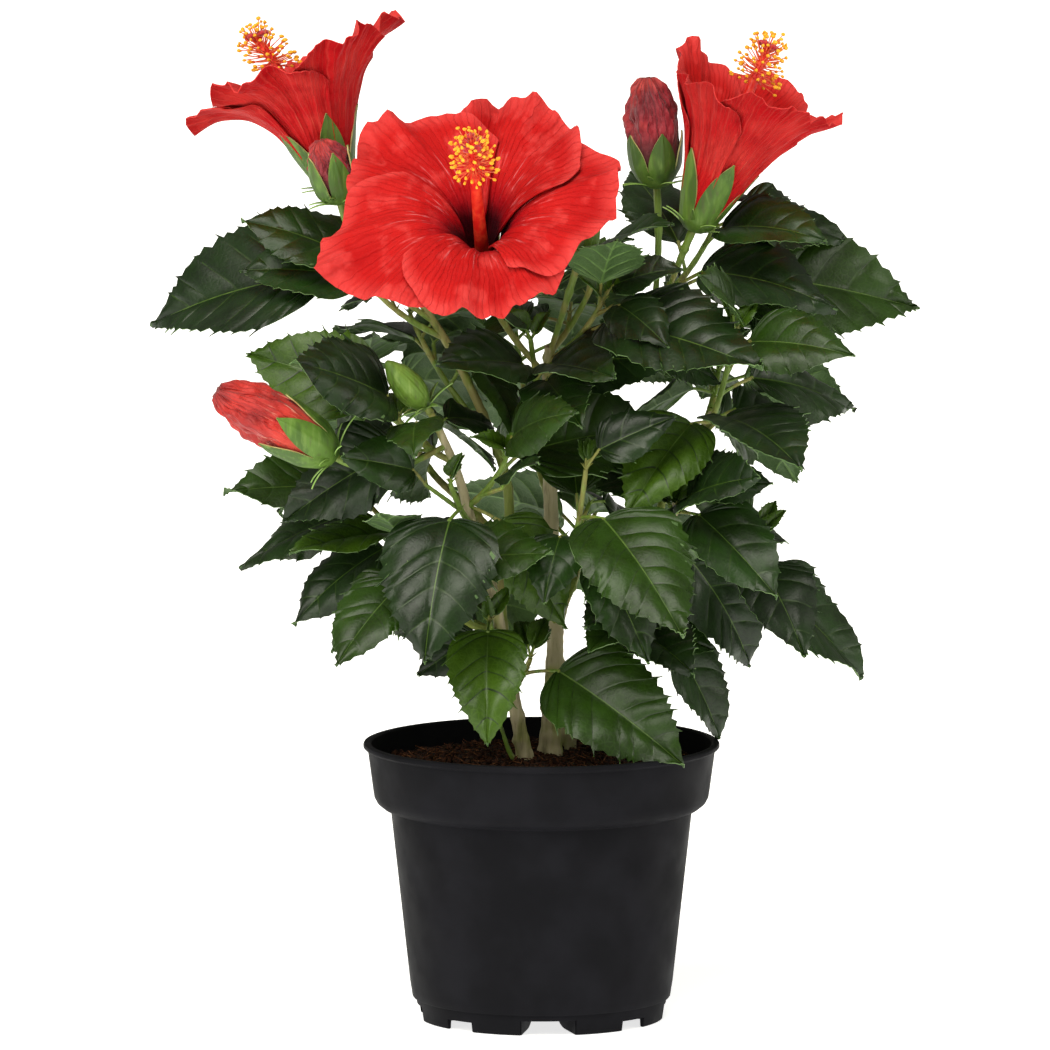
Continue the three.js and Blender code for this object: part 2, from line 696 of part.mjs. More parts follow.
// Each shoot's twig runs from its limb to tip, and its leaves' upper faces turn to facing (a heading and a
// rise). set lists the leaves of the open side by their share of the way along the twig, heading, rise and
// blade length; count more follow the spiral, which starts at turn.
const SHOOTS = [
  {
    name: "leaves_left_top",
    ...{ seed: 11, limb: "bough_middle", at: 0.86, tip: [-62, 4, 268], facing: [250, 45] },
    set: [[0.85, 168, -7, 76], [1.0, 183, 29, 44], [0.77, 169, 13, 45]],
    ...{ count: 3, turn: 330, blade: [50, 36] },
  },
  {
    name: "leaves_left_middle",
    ...{ seed: 12, limb: "stem_left", at: 0.86, tip: [-52, -22, 222], facing: [255, 38] },
    set: [[0.91, 233, 24, 52], [1.0, 165, 17, 51], [0.02, 291, 3, 49], [0.3, 215, -25, 50]],
    ...{ count: 2, turn: 60, blade: [46, 36] },
  },
  {
    name: "leaves_left_front",
    ...{ seed: 32, limb: "stem_left", at: 0.66, tip: [-33, -30, 200], facing: [255, 38] },
    set: [[0.5, 228, -36, 60]],
  },
  {
    name: "leaves_left_side",
    ...{ seed: 27, limb: "stem_left", at: 0.47, tip: [-62, 12, 186], facing: [240, 50] },
    set: [[1.0, 217, 7, 47], [0.88, 183, -17, 46], [0.6, 200, -26, 44]],
    ...{ count: 3, turn: 40, blade: [48, 36] },
  },
  {
    name: "leaves_left_low",
    ...{ seed: 13, limb: "bough_left_low", at: 1, tip: [-50, -24, 174], facing: [250, 40] },
    set: [[0.3, 233, -24, 46], [0.2, 292, 14, 48], [0.25, 258, -23, 38]],
    ...{ count: 2, turn: 120, blade: [38, 30] },
  },
  {
    name: "leaves_foot",
    ...{ seed: 14, limb: "stem_left", at: 0.2, tip: [-4, -14, 134], facing: [270, 30] },
    set: [[0.59, 319, -21, 62]],
    ...{ count: 1, turn: 190, blade: [30, 28] },
  },
  {
    name: "leaves_low_front",
    ...{ seed: 31, limb: "stem_left", at: 0.33, tip: [-19, -20, 148], facing: [270, 30] },
    set: [[1.0, 268, -37, 47], [0.5, 189, -29, 26]],
  },
  {
    name: "leaves_centre",
    ...{ seed: 28, limb: "stem_left", at: 0.72, tip: [-13, -26, 208], facing: [270, 40] },
    set: [[0.44, 15, 17, 63], [0.02, 0, -52, 47]],
    ...{ count: 1, turn: 240, blade: [40, 36] },
  },
  {
    name: "leaves_front",
    ...{ seed: 15, limb: "bough_front", at: 1, tip: [16, -36, 206], facing: [275, 36] },
    set: [[0.61, 300, -24, 64], [0.57, 139, 48, 38], [0.35, 318, -48, 44]],
    ...{ count: 2, turn: 200, blade: [46, 34] },
  },
  {
    name: "leaves_front_top",
    ...{ seed: 16, limb: "stem_middle", at: 0.8, tip: [-4, -14, 250], facing: [270, 45] },
    set: [[0.48, 232, 13, 46], [0.57, 302, 5, 41]],
    ...{ count: 4, turn: 120, blade: [44, 32] },
  },
  {
    name: "leaves_right_inner",
    ...{ seed: 29, limb: "stem_middle", at: 0.95, tip: [22, -12, 264], facing: [280, 42] },
    set: [[0.39, 320, -2, 70], [0.92, 280, 41, 41], [0.6, 22, -24, 50], [0.99, 100, 50, 44]],
    ...{ count: 2, turn: 200, blade: [40, 30] },
  },
  {
    name: "leaves_right_top",
    ...{ seed: 17, limb: "bough_right_top", at: 0.88, tip: [64, 22, 290], facing: [285, 42] },
    set: [[0.06, 10, -6, 80], [0.14, 335, 2, 54], [0.7, 318, 12, 46], [0.92, 27, -7, 42], [1.0, 50, 7, 39], [0.4, 122, 47, 44]],
    ...{ count: 2, turn: 90, blade: [48, 36] },
  },
  {
    name: "leaves_right_middle",
    ...{ seed: 18, limb: "stem_right", at: 0.94, tip: [70, -10, 252], facing: [285, 42] },
    set: [[0.5, 30, -7, 52], [0.81, 320, 7, 44], [0.07, 300, 0, 55], [0.2, 40, -10, 44], [0.2, 195, -25, 48]],
    ...{ count: 2, turn: 80, blade: [48, 36] },
  },
  {
    name: "leaves_right_front",
    ...{ seed: 20, limb: "stem_right", at: 0.62, tip: [48, -18, 188], facing: [280, 38] },
    set: [[0.73, 297, 25, 51], [1.0, 315, -28, 46], [0.45, 21, -50, 48]],
    ...{ count: 2, turn: 60, blade: [44, 36] },
  },
  {
    name: "leaves_right_low",
    ...{ seed: 19, limb: "bough_right_low", at: 1, tip: [78, 4, 174], facing: [285, 45] },
    set: [[0.02, 15, -34, 56], [0.3, 60, -20, 38], [0.6, 300, -30, 42]],
    ...{ count: 4, turn: 150, blade: [38, 32] },
  },
  {
    name: "leaves_right_foot",
    ...{ seed: 30, limb: "stem_right", at: 0.3, tip: [40, 2, 142], facing: [280, 45] },
    set: [[0.41, 306, 6, 49], [0.92, 345, -55, 40], [1.0, 287, 11, 42]],
    ...{ count: 1, turn: 120, blade: [40, 36] },
  },
  {
    name: "leaves_crown",
    ...{ seed: 25, limb: "stem_middle", at: 0.98, tip: [22, 16, 276], facing: [270, 80] },
    ...{ count: 6, turn: 0, blade: [50, 32] },
  },
  {
    name: "leaves_back",
    ...{ seed: 21, limb: "bough_back", at: 1, tip: [-10, 66, 250], facing: [90, 45] },
    ...{ count: 7, turn: 90, blade: [60, 34] },
  },
  {
    name: "leaves_back_left",
    ...{ seed: 22, limb: "bough_back_left", at: 1, tip: [-64, 50, 226], facing: [120, 45] },
    ...{ count: 7, turn: 140, blade: [58, 34] },
  },
  {
    name: "leaves_back_right",
    ...{ seed: 23, limb: "bough_back_right", at: 1, tip: [66, 62, 236], facing: [75, 45] },
    ...{ count: 7, turn: 60, blade: [46, 32] },
  },
  {
    name: "leaves_back_low",
    ...{ seed: 24, limb: "bough_back_low", at: 1, tip: [16, 70, 172], facing: [90, 42] },
    ...{ count: 6, turn: 80, blade: [56, 36] },
  },
  {
    name: "leaves_left_back_top",
    ...{ seed: 26, limb: "bough_middle", at: 0.6, tip: [-48, 36, 254], facing: [130, 50] },
    ...{ count: 6, turn: 110, blade: [50, 32] },
  },
];

// ---- finish and assembly -----------------------------------------------------------------------------------

const finish = (color, roughness) => new THREE.MeshStandardMaterial({ color, roughness, metalness: 0 });
const MATERIALS = {
  pot: finish(0x232324, 0.5),
  soil: finish(0x2f1d14, 0.95),
  stem: finish(0x8b7a55, 0.8),
  bough: finish(0x6d7a3a, 0.7),
  leaf: finish(0x1f3d16, 0.35),
  petal: finish(0xdc2f26, 0.5),
  bud: finish(0x6f9a35, 0.5),
};

const plant = new THREE.Group();

function addNode(name, solid, material) {
  const mesh = new THREE.Mesh(geometryOf(solid), material);
  mesh.name = name;
  plant.add(mesh);
  standing.push({ owner: name, solid });
}

addNode("pot", pot(), MATERIALS.pot);
addNode("soil", soil(), MATERIALS.soil);
for (const limb of LIMBS) addNode(limb.name, growLimb(limb), limb.parent ? MATERIALS.bough : MATERIALS.stem);
for (const bloom of BLOOMS) addNode(bloom.name, growBloom(bloom), MATERIALS.petal);
for (const bud of BUDS) addNode(bud.name, growBud(bud), MATERIALS.bud);
const shoots = SHOOTS.map((spec) => new Shoot(spec));
for (const shoot of shoots) shoot.addSetLeaves();
for (const shoot of shoots) shoot.addSpiralLeaves();
for (const shoot of shoots) addNode(shoot.name, shoot.finish(), MATERIALS.leaf);

export default plant;
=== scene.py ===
"""Looks of a hibiscus shrub in its nursery pot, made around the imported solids.

The shrub grows by the rule that its solids grew by, from the same named sizes and seeds, with finer
leaves, petals, bark and peat. Lengths are in millimetres until a mesh is made. +Z is up, X to the right, Y
to the back.
"""

import json
import logging
import math
from dataclasses import dataclass, field, replace
from enum import Enum
from typing import Sequence

import bpy
import numpy as np
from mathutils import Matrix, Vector
from mathutils.bvhtree import BVHTree
from numpy.random import Generator

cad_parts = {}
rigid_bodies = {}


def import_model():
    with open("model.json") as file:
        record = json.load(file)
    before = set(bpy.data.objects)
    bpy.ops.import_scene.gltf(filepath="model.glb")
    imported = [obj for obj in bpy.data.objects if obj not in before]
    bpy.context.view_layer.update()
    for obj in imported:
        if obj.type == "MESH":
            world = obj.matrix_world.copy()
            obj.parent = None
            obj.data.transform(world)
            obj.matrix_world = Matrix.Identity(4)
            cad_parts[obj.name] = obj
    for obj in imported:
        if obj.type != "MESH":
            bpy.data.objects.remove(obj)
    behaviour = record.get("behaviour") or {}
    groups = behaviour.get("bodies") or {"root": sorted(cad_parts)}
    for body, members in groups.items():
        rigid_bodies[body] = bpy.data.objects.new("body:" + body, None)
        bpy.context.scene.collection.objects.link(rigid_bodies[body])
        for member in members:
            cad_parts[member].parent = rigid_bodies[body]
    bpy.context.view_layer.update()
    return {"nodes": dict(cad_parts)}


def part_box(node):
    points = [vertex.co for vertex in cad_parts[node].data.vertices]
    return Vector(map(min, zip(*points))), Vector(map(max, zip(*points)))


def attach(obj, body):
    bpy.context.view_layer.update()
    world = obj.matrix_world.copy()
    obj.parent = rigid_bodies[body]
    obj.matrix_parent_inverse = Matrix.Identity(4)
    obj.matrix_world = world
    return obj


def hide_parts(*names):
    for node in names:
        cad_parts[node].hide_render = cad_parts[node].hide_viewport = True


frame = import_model()

log = logging.getLogger("hibiscus")
Array = np.ndarray
Amount = float | Array
Pair = tuple[float, float]
Place = tuple[float, float, float]
Socket = bpy.types.NodeSocket
MM = 0.001  # metres in a millimetre


# ---- numbers and directions ----


def vec(x: float, y: float, z: float) -> Array:
    """Returns a point or direction as an array."""
    return np.array([x, y, z], float)


UP = vec(0, 0, 1)


def unit(v: Array) -> Array:
    """Returns vectors scaled to a length of one."""
    return v / np.maximum(np.linalg.norm(v, axis=-1, keepdims=True), 1e-12)


def lerp(a: Amount, b: Amount, t: Amount) -> Amount:
    """Returns the blend of a and b at share t."""
    return a + (b - a) * t


def smooth(x: Amount, low: float, high: float) -> Amount:
    """Returns a smooth step from 0 at low to 1 at high."""
    t = np.clip((x - low) / (high - low), 0, 1)
    return t * t * (3 - 2 * t)


def towards(heading: float, rise: float) -> Array:
    """Returns the direction of a compass heading and a rise above the level.

    Args:
        heading: Degrees, 0 to the right, 90 to the back, 180 to the left and 270 to the front.
        rise: Degrees above the level.

    Returns:
        A unit vector.
    """
    h, r = math.radians(heading), math.radians(rise)
    return vec(math.cos(r) * math.cos(h), math.cos(r) * math.sin(h), math.sin(r))


def turned_about(v: Array, axis: Array, angle: float) -> Array:
    """Returns v turned about a unit axis by an angle in radians."""
    turned = v * math.cos(angle) + np.cross(axis, v) * math.sin(angle)
    return turned + axis * np.dot(axis, v) * (1 - math.cos(angle))


def ring_angles(count: int) -> Array:
    """Returns evenly spaced angles round a circle, in radians."""
    return 2 * np.pi * np.arange(count) / count


def spin(angle: float) -> Array:
    """Returns the matrix that rows of points are multiplied by to turn them about Z, by radians."""
    c, s = math.cos(angle), math.sin(angle)
    return np.array([[c, s, 0], [-s, c, 0], [0, 0, 1]])


def polar(radius: Array, angle: Array, height: Array) -> Array:
    """Returns points about Z at radii, angles in radians and heights."""
    return np.stack(np.broadcast_arrays(radius * np.cos(angle), radius * np.sin(angle), height), -1)


class Draws:
    """Seeded numbers (mulberry32), drawn as the solids draw theirs."""

    MASK = 0xFFFFFFFF

    def __init__(self, seed: int) -> None:
        """Starts the row of numbers of a seed."""
        self.state = seed & self.MASK

    def next(self) -> float:
        """Returns the next number from 0 to 1."""
        self.state = (self.state + 0x6D2B79F5) & self.MASK
        t = self.state
        t = ((t ^ (t >> 15)) * (t | 1)) & self.MASK
        t ^= (t + ((t ^ (t >> 7)) * (t | 61) & self.MASK)) & self.MASK
        return (t ^ (t >> 14)) / 4294967296

    def between(self, low: float, high: float) -> float:
        """Returns the next number, scaled to lie between low and high."""
        return low + (high - low) * self.next()


# ---- curves ----


@dataclass(frozen=True)
class Spline:
    """A Catmull-Rom curve of tension 0.5 through points."""

    points: tuple[Place, ...]

    def at(self, t: float) -> Array:
        """Returns the point at share t of the way, counted point by point."""
        p = [np.array(q, float) for q in self.points]
        p = [2 * p[0] - p[1], *p, 2 * p[-1] - p[-2]]
        i = min(int(t * (len(p) - 3)), len(p) - 4)
        w = t * (len(p) - 3) - i
        a, b = 0.5 * (p[i + 2] - p[i]), 0.5 * (p[i + 3] - p[i + 1])
        c2 = -3 * p[i + 1] + 3 * p[i + 2] - 2 * a - b
        c3 = 2 * p[i + 1] - 2 * p[i + 2] + a + b
        return p[i + 1] + a * w + c2 * w**2 + c3 * w**3


@dataclass(frozen=True)
class Bezier:
    """A Bezier curve of any degree."""

    handles: tuple[Array, ...]

    def at(self, t: float) -> Array:
        """Returns the point at share t of the way."""
        row = list(self.handles)
        while len(row) > 1:
            row = [lerp(a, b, t) for a, b in zip(row, row[1:])]
        return row[0]


def walk(curve: Spline | Bezier, steps: int) -> Array:
    """Returns the points of a curve at even shares, one more than steps."""
    return np.array([curve.at(i / steps) for i in range(steps + 1)])


# ---- finishes ----


def linear(hex_color: str) -> tuple[float, float, float, float]:
    """Returns an sRGB hex colour as linear red, green, blue and alpha."""
    parts = [int(hex_color[i : i + 2], 16) / 255 for i in (1, 3, 5)]
    return (*[c / 12.92 if c <= 0.04045 else ((c + 0.055) / 1.055) ** 2.4 for c in parts], 1.0)


def grain(size_mm: float) -> float:
    """Returns the noise scale whose features lie a size in millimetres apart."""
    return 1 / (size_mm * MM)


class Mix(Enum):
    """Socket numbers of a colour Mix node."""

    SHARE = 0
    FIRST = 6
    SECOND = 7
    RESULT = 2


class Brush:
    """Adds nodes to one material and links them to its shader."""

    def __init__(self, made: bpy.types.Material) -> None:
        """Takes up a material that has nodes."""
        self.tree = made.node_tree
        self.shader = self.tree.nodes["Principled BSDF"]

    def node(self, kind: str, inputs: dict | None = None, **settings: object) -> bpy.types.Node:
        """Adds a node with its settings and links.

        Args:
            kind: The node's type, such as Math.
            inputs: Socket name or number to a value, or to the output socket to link from.
            settings: Properties of the node, such as operation.

        Returns:
            The new node.
        """
        node = self.tree.nodes.new(f"ShaderNode{kind}")
        for name, value in settings.items():
            setattr(node, name, value)
        for key, value in (inputs or {}).items():
            if isinstance(value, Socket):
                self.tree.links.new(value, node.inputs[key])
            else:
                node.inputs[key].default_value = value
        return node

    def link(self, output: Socket, name: str) -> None:
        """Links an output to one of the shader's inputs."""
        self.tree.links.new(output, self.shader.inputs[name])

    def maths(self, operation: str, *terms: object) -> Socket:
        """Adds an operation, such as MULTIPLY, on numbers and sockets."""
        return self.node("Math", dict(enumerate(terms)), operation=operation).outputs[0]

    def noise(self, place: object, scale: float, detail: float) -> Socket:
        """Adds noise at a place, about 0.5 on average."""
        inputs = {"Vector": place, "Scale": scale, "Detail": detail}
        return self.node("TexNoise", inputs).outputs["Fac"]

    def blend(self, share: object, first: object, second: object) -> Socket:
        """Adds a blend of two colours, each a hex colour or a socket.

        Args:
            share: The socket or number that gives the share of the second colour.
            first: The first colour.
            second: The second colour.

        Returns:
            The blended colour's socket.
        """
        sides = [linear(c) if isinstance(c, str) else c for c in (first, second)]
        inputs = {Mix.SHARE.value: share, Mix.FIRST.value: sides[0], Mix.SECOND.value: sides[1]}
        return self.node("Mix", inputs, data_type="RGBA").outputs[Mix.RESULT.value]

    def speckle(self, size_mm: float, detail: float = 3.0, stretch: float = 1.0) -> object:
        """Adds noise in the object's own space.

        Args:
            size_mm: How far apart its features lie.
            detail: How many octaves it has.
            stretch: How many times longer its features are upwards.

        Returns:
            The noise's output socket.
        """
        place = self.node("TexCoord").outputs["Object"]
        if stretch != 1.0:
            inputs = {"Vector": place, "Scale": (1, 1, 1 / stretch)}
            place = self.node("Mapping", inputs).outputs[0]
        return self.noise(place, grain(size_mm), detail)

    def between(self, value: object, low: float, high: float, *ends: float) -> object:
        """Adds a smooth change from ends[0] to ends[1], or 0 to 1, as value goes from low to high."""
        first, last = ends or (0.0, 1.0)
        inputs = {"Value": value, "From Min": low, "From Max": high, "To Min": first, "To Max": last}
        return self.node("MapRange", inputs, interpolation_type="SMOOTHSTEP").outputs["Result"]

    def relief(self, height: object, depth_mm: float) -> None:
        """Adds a bump of a depth in millimetres to the shader."""
        inputs = {"Height": height, "Distance": depth_mm * MM, "Strength": 1.0}
        self.link(self.node("Bump", inputs).outputs["Normal"], "Normal")


@dataclass(frozen=True)
class Finish:
    """A finish: what it is called, and its plain shader numbers.

    Each kind of finish adds its own pattern in paint.
    """

    name: str
    color: str
    roughness: float = 0.5
    ior: float = 1.45
    specular: float = 0.5
    coat: float = 0.0
    sheen: float = 0.0
    glow: float = 0.0  # light scattered under the skin

    def material(self) -> bpy.types.Material:
        """Returns the finish's material, made once."""
        made = bpy.data.materials.get(self.name)
        if made:
            return made
        made = bpy.data.materials.new(self.name)
        made.use_nodes = True
        made.diffuse_color = linear(self.color)
        brush = Brush(made)
        numbers = {
            "Base Color": linear(self.color),
            "Roughness": self.roughness,
            "IOR": self.ior,
            "Specular IOR Level": self.specular,
            "Coat Weight": self.coat,
            "Coat Roughness": 0.3,
            "Sheen Weight": self.sheen,
            "Sheen Roughness": 0.5,
            "Subsurface Weight": self.glow,
            "Subsurface Radius": (1.0, 0.35, 0.2),
            "Subsurface Scale": 1.2 * MM,
        }
        for socket, value in numbers.items():
            brush.shader.inputs[socket].default_value = value
        self.paint(brush)
        return made

    def paint(self, brush: Brush) -> None:
        """Adds the finish's pattern to its shader."""


@dataclass(frozen=True)
class MouldedPolypropylene(Finish):
    """Injection-moulded black polypropylene. The eye gets a soft satin sheen with faint scuffs and dust."""

    def paint(self, brush: Brush) -> None:
        """Adds patchy gloss, faint dust and the mould's fine texture."""
        patches = brush.speckle(14, 4)
        dust = brush.between(brush.speckle(22, 3), 0.35, 0.75)
        brush.link(brush.blend(dust, self.color, "#1A1A1E"), "Base Color")
        rough = brush.between(patches, 0.3, 0.7, self.roughness - 0.06, self.roughness + 0.08)
        brush.link(rough, "Roughness")
        brush.relief(brush.speckle(0.5, 2), 0.015)


@dataclass(frozen=True)
class Peat(Finish):
    """Milled moss peat, moist and fibrous. The eye gets a dark brown crumb with lighter, redder fibres."""

    light: str = "#4A2A1A"

    def paint(self, brush: Brush) -> None:
        """Adds crumbs of lighter and darker brown."""
        crumb = brush.speckle(1.4, 6)
        brush.link(brush.blend(brush.between(crumb, 0.42, 0.68), self.color, self.light), "Base Color")
        brush.relief(crumb, 0.9)


@dataclass(frozen=True)
class Bark(Finish):
    """The thin bark of a young stem. The eye gets patches of a second colour, long streaks and pale pores."""

    streak: str = "#6E7A3C"
    pore: str = "#B9AE8C"
    streak_share: float = 0.5
    depth: float = 0.12

    def paint(self, brush: Brush) -> None:
        """Adds patches, light and dark streaks along the stem and a fine relief."""
        streaks = brush.speckle(1.6, 5, stretch=7)
        patches = brush.speckle(11, 2, stretch=2)
        share = brush.between(patches, 0.62 - 0.3 * self.streak_share, 0.72 - 0.3 * self.streak_share)
        color = brush.blend(share, self.color, self.streak)
        color = brush.blend(brush.between(streaks, 0.5, 0.75, 0.0, 0.55), color, self.pore)
        color = brush.blend(brush.between(streaks, 0.46, 0.3, 0.0, 0.4), color, "#4B4630")
        brush.link(color, "Base Color")
        brush.relief(streaks, self.depth)


@dataclass(frozen=True)
class LeafSkin(Finish):
    """The waxy skin of a leaf. The eye gets a soft gloss broken by the net of small veins."""

    second: str = "#27421A"
    net: str = "#3E5A2A"
    net_mm: float = 2.2

    def paint(self, brush: Brush) -> None:
        """Adds uneven greens and the net of the smallest veins."""
        patches = brush.between(brush.speckle(13, 3), 0.38, 0.64)
        color = brush.blend(patches, self.color, self.second)
        place = brush.node("TexCoord").outputs["Object"]
        inputs = {"Vector": place, "Scale": grain(self.net_mm)}
        cells = brush.node("TexVoronoi", inputs, feature="DISTANCE_TO_EDGE").outputs["Distance"]
        lines = brush.between(cells, 0.0, 0.09, 0.3, 0.0)
        brush.link(brush.blend(lines, color, self.net), "Base Color")
        rough = brush.between(brush.speckle(5, 4), 0.3, 0.7, self.roughness - 0.07, self.roughness + 0.09)
        brush.link(rough, "Roughness")
        height = brush.between(cells, 0.0, 0.25)
        fine = brush.maths("MULTIPLY", brush.speckle(0.9, 3), 0.6)
        brush.relief(brush.maths("ADD", height, fine), 0.04)


@dataclass(frozen=True)
class PlainTissue(Finish):
    """Soft plant tissue with no pattern of its own, such as a rib or a pollen sac."""

    second: str = "#FFFFFF"
    size: float = 1.2
    depth: float = 0.03

    def paint(self, brush: Brush) -> None:
        """Adds an uneven colour and a fine grain."""
        grains = brush.speckle(self.size, 4)
        brush.link(brush.blend(brush.between(grains, 0.4, 0.68), self.color, self.second), "Base Color")
        brush.relief(grains, self.depth)


@dataclass(frozen=True)
class BacklitPanel(PlainTissue):
    """Opal acrylic lit from below, as product tables are. The eye gets a white ground, hardly shaded."""

    strength: float = 0.75

    def paint(self, brush: Brush) -> None:
        """Adds the light from below."""
        super().paint(brush)
        brush.shader.inputs["Emission Color"].default_value = linear("#FFFFFF")
        brush.shader.inputs["Emission Strength"].default_value = self.strength


@dataclass(frozen=True)
class PetalSkin(Finish):
    """The velvety skin of a petal. The eye gets branching veins, silky ribs and a throat of another colour.

    The mesh's map named span runs across the petal and from its root to its rim.
    """

    vein: str = "#B3161A"
    vein_share: float = 0.55
    throat: str = "#43040F"
    ring: str = "#B00F1C"
    streak: str = "#E79AA0"
    streak_share: float = 0.35
    # colour towards the rim: a tint of the petal, which on the petals' inside is lighter, a painted sheen at
    # the edges
    rim: str = "#EC5540"
    throat_end: float = 0.36

    @staticmethod
    def lines(brush: Brush, across: object, count: float, width: float) -> object:
        """Adds fine lines that run along the petal, count of them, as wide as a share of their spacing."""
        wave = brush.maths("PINGPONG", brush.maths("MULTIPLY", across, count), 0.5)
        return brush.between(wave, 0.0, width, 1.0, 0.0)

    def paint(self, brush: Brush) -> None:
        """Adds the veins, throat, streaks, the rim's colour (on the inside a lighter rim, painted sheen at
        the edge) and silky ribs.
        """
        span = brush.node("UVMap", uv_map="span").outputs["UV"]
        parts = brush.node("SeparateXYZ", {"Vector": span})
        across, along = parts.outputs["X"], parts.outputs["Y"]
        bent = brush.maths("MULTIPLY_ADD", brush.noise(span, 5.0, 3.0), 0.07, across)
        veins = self.lines(brush, bent, 9, 0.09)
        for count, width, start in ((18, 0.1, 0.3), (36, 0.13, 0.52)):
            finer = self.lines(brush, bent, count, width)
            shown = brush.between(along, start, start + 0.2, 0.0, 0.75)
            veins = brush.maths("MAXIMUM", veins, brush.maths("MULTIPLY", finer, shown))
        stretched = brush.node("Mapping", {"Vector": span, "Scale": (46, 5, 1)}).outputs[0]
        ribs = brush.noise(stretched, 1.0, 4.0)
        cloud = brush.between(brush.speckle(16, 3), 0.35, 0.7, 0.0, 0.6)
        color = brush.blend(cloud, self.color, self.vein)
        bloom = brush.between(brush.speckle(9, 4), 0.5, 0.72, 0.0, 0.5)
        color = brush.blend(bloom, color, self.rim)
        # the last share towards the rim is blended to the rim colour; on the inside this lighter rim is
        # painted sheen at the edges
        color = brush.blend(brush.between(along, 0.86, 1.0, 0.0, 0.55), color, self.rim)
        color = brush.blend(brush.maths("MULTIPLY", veins, self.vein_share), color, self.vein)
        pale = brush.between(ribs, 0.56, 0.72, 0.0, self.streak_share)
        pale = brush.maths("MULTIPLY", pale, brush.between(along, 0.72, 0.5))
        color = brush.blend(pale, color, self.streak)
        end = self.throat_end
        color = brush.blend(brush.between(along, end + 0.2, end, 0.0, 0.85), color, self.ring)
        color = brush.blend(brush.between(along, end + 0.06, end - 0.12), color, self.throat)
        brush.link(color, "Base Color")
        ribs = brush.maths("MULTIPLY_ADD", brush.speckle(5, 3), 2.2, ribs)
        brush.relief(brush.maths("MULTIPLY_ADD", veins, 0.5, ribs), 0.5)


POT_PLASTIC = MouldedPolypropylene(
    "moulded_polypropylene", "#141417", roughness=0.54, ior=1.49, specular=0.03
)
PEAT = Peat("moss_peat", "#170B07", roughness=0.9, specular=0.25)
PEAT_CRUMB = Peat("moss_peat_crumb", "#1F100A", roughness=0.92, specular=0.15, light="#47291A")
PEAT_FIBRE = Peat("peat_fibre", "#452818", roughness=0.8, specular=0.15, light="#7A5034")
OLD_BARK = Bark(
    "grey_cork_bark", "#B3A884", 0.78, streak="#8F9152", pore="#CFC6A2", streak_share=0.4, depth=0.22
)
GREEN_BARK = Bark("green_young_bark", "#7E8B3C", roughness=0.6, streak="#8F8850", pore="#B0B674")
TWIG_BARK = Bark("green_twig_skin", "#6B8730", roughness=0.5, streak="#858442", pore="#98AC5C", depth=0.05)
LEAF_TOPS = (
    LeafSkin("leaf_skin_deep", "#0E1E06", 0.42, 1.45, 0.3, coat=0.2, second="#152A09", net="#1D350F"),
    LeafSkin("leaf_skin_dark", "#132505", 0.4, 1.45, 0.3, coat=0.2, second="#1A3309", net="#254012"),
    LeafSkin("leaf_skin_middle", "#1B2F04", 0.42, 1.45, 0.28, coat=0.16, second="#243D0A", net="#304C14"),
    LeafSkin("leaf_skin_bright", "#2E4807", 0.42, 1.45, 0.28, coat=0.14, second="#3C580F", net="#4D6B1E"),
)
LEAF_UNDER = LeafSkin(
    "leaf_underside", "#3E592C", roughness=0.62, second="#4A6636", net="#66804C", net_mm=1.8
)
LEAF_RIB = PlainTissue("leaf_midrib", "#405A1B", roughness=0.45, second="#526C2A", size=4)
LEAF_VEIN = PlainTissue("leaf_side_vein", "#1B2E08", roughness=0.4, second="#283F10", size=4)
LEAF_UNDER_RIB = PlainTissue("leaf_underside_rib", "#58773A", roughness=0.55, second="#688848", size=4)
LEAF_EDGE = PlainTissue("leaf_edge", "#4C6A33", roughness=0.5, second="#6F8A55", size=4)
# its lighter rim colour is a painted sheen at the petals' edges
PETAL_INSIDE = PetalSkin(
    "petal_inside", "#B91B1A", roughness=0.55, specular=0.06, sheen=0.015, glow=0.15, vein="#A30D10",
    vein_share=0.3, throat="#430310", ring="#A00613", streak="#E9A0A4", streak_share=0.6, rim="#DC4C49",
)
PETAL_OUTSIDE = PetalSkin(
    "petal_outside", "#B50F16", roughness=0.6, specular=0.07, sheen=0.015, glow=0.15, vein="#CC3F39",
    vein_share=0.45, throat="#AE1318", ring="#B81418", streak="#DE7A5E", streak_share=0.4, rim="#96060F",
)
FURLED_BRIGHT = PetalSkin(
    "furled_petals_bright", "#C62C22", roughness=0.6, sheen=0.1, vein="#8E161A",
    throat="#C84A36", ring="#CC3A2A", streak="#EDB199", streak_share=0.9, rim="#7A1418",
)
FURLED_DARK = PetalSkin(
    "furled_petals_dark", "#9A222E", roughness=0.6, sheen=0.1, vein="#4A141D",
    throat="#5A2A2E", ring="#6B2A30", streak="#C8747A", streak_share=0.6, rim="#C2382F",
)
COLUMN_TISSUE = PlainTissue("staminal_column", "#D81E17", roughness=0.42, second="#EE4A2C", size=3, glow=0.1)
FILAMENT = PlainTissue("filament", "#E2462E", roughness=0.45, second="#F08A5A", size=2)
POLLEN = PlainTissue("pollen_sac", "#F0A012", roughness=0.75, second="#FFC83A", size=0.5, depth=0.12)
STIGMA = PlainTissue(
    "stigma_pad", "#A30C1E", roughness=0.8, sheen=0.6, second="#D01F2C", size=0.4, depth=0.12
)
SEPAL = Bark("sepal_skin", "#41601D", roughness=0.55, streak="#587A28", pore="#7A9648", depth=0.06)
GREEN_BUD = Bark("green_bud_skin", "#5C7E2A", roughness=0.5, streak="#6E9034", pore="#93AE58", depth=0.08)
SEPAL_EDGE = PlainTissue("sepal_edge", "#B9B878", roughness=0.6, second="#A9905A", size=3)
SEPAL_INSIDE = PlainTissue("sepal_inside", "#7FA34C", roughness=0.6, second="#94B463", size=3)
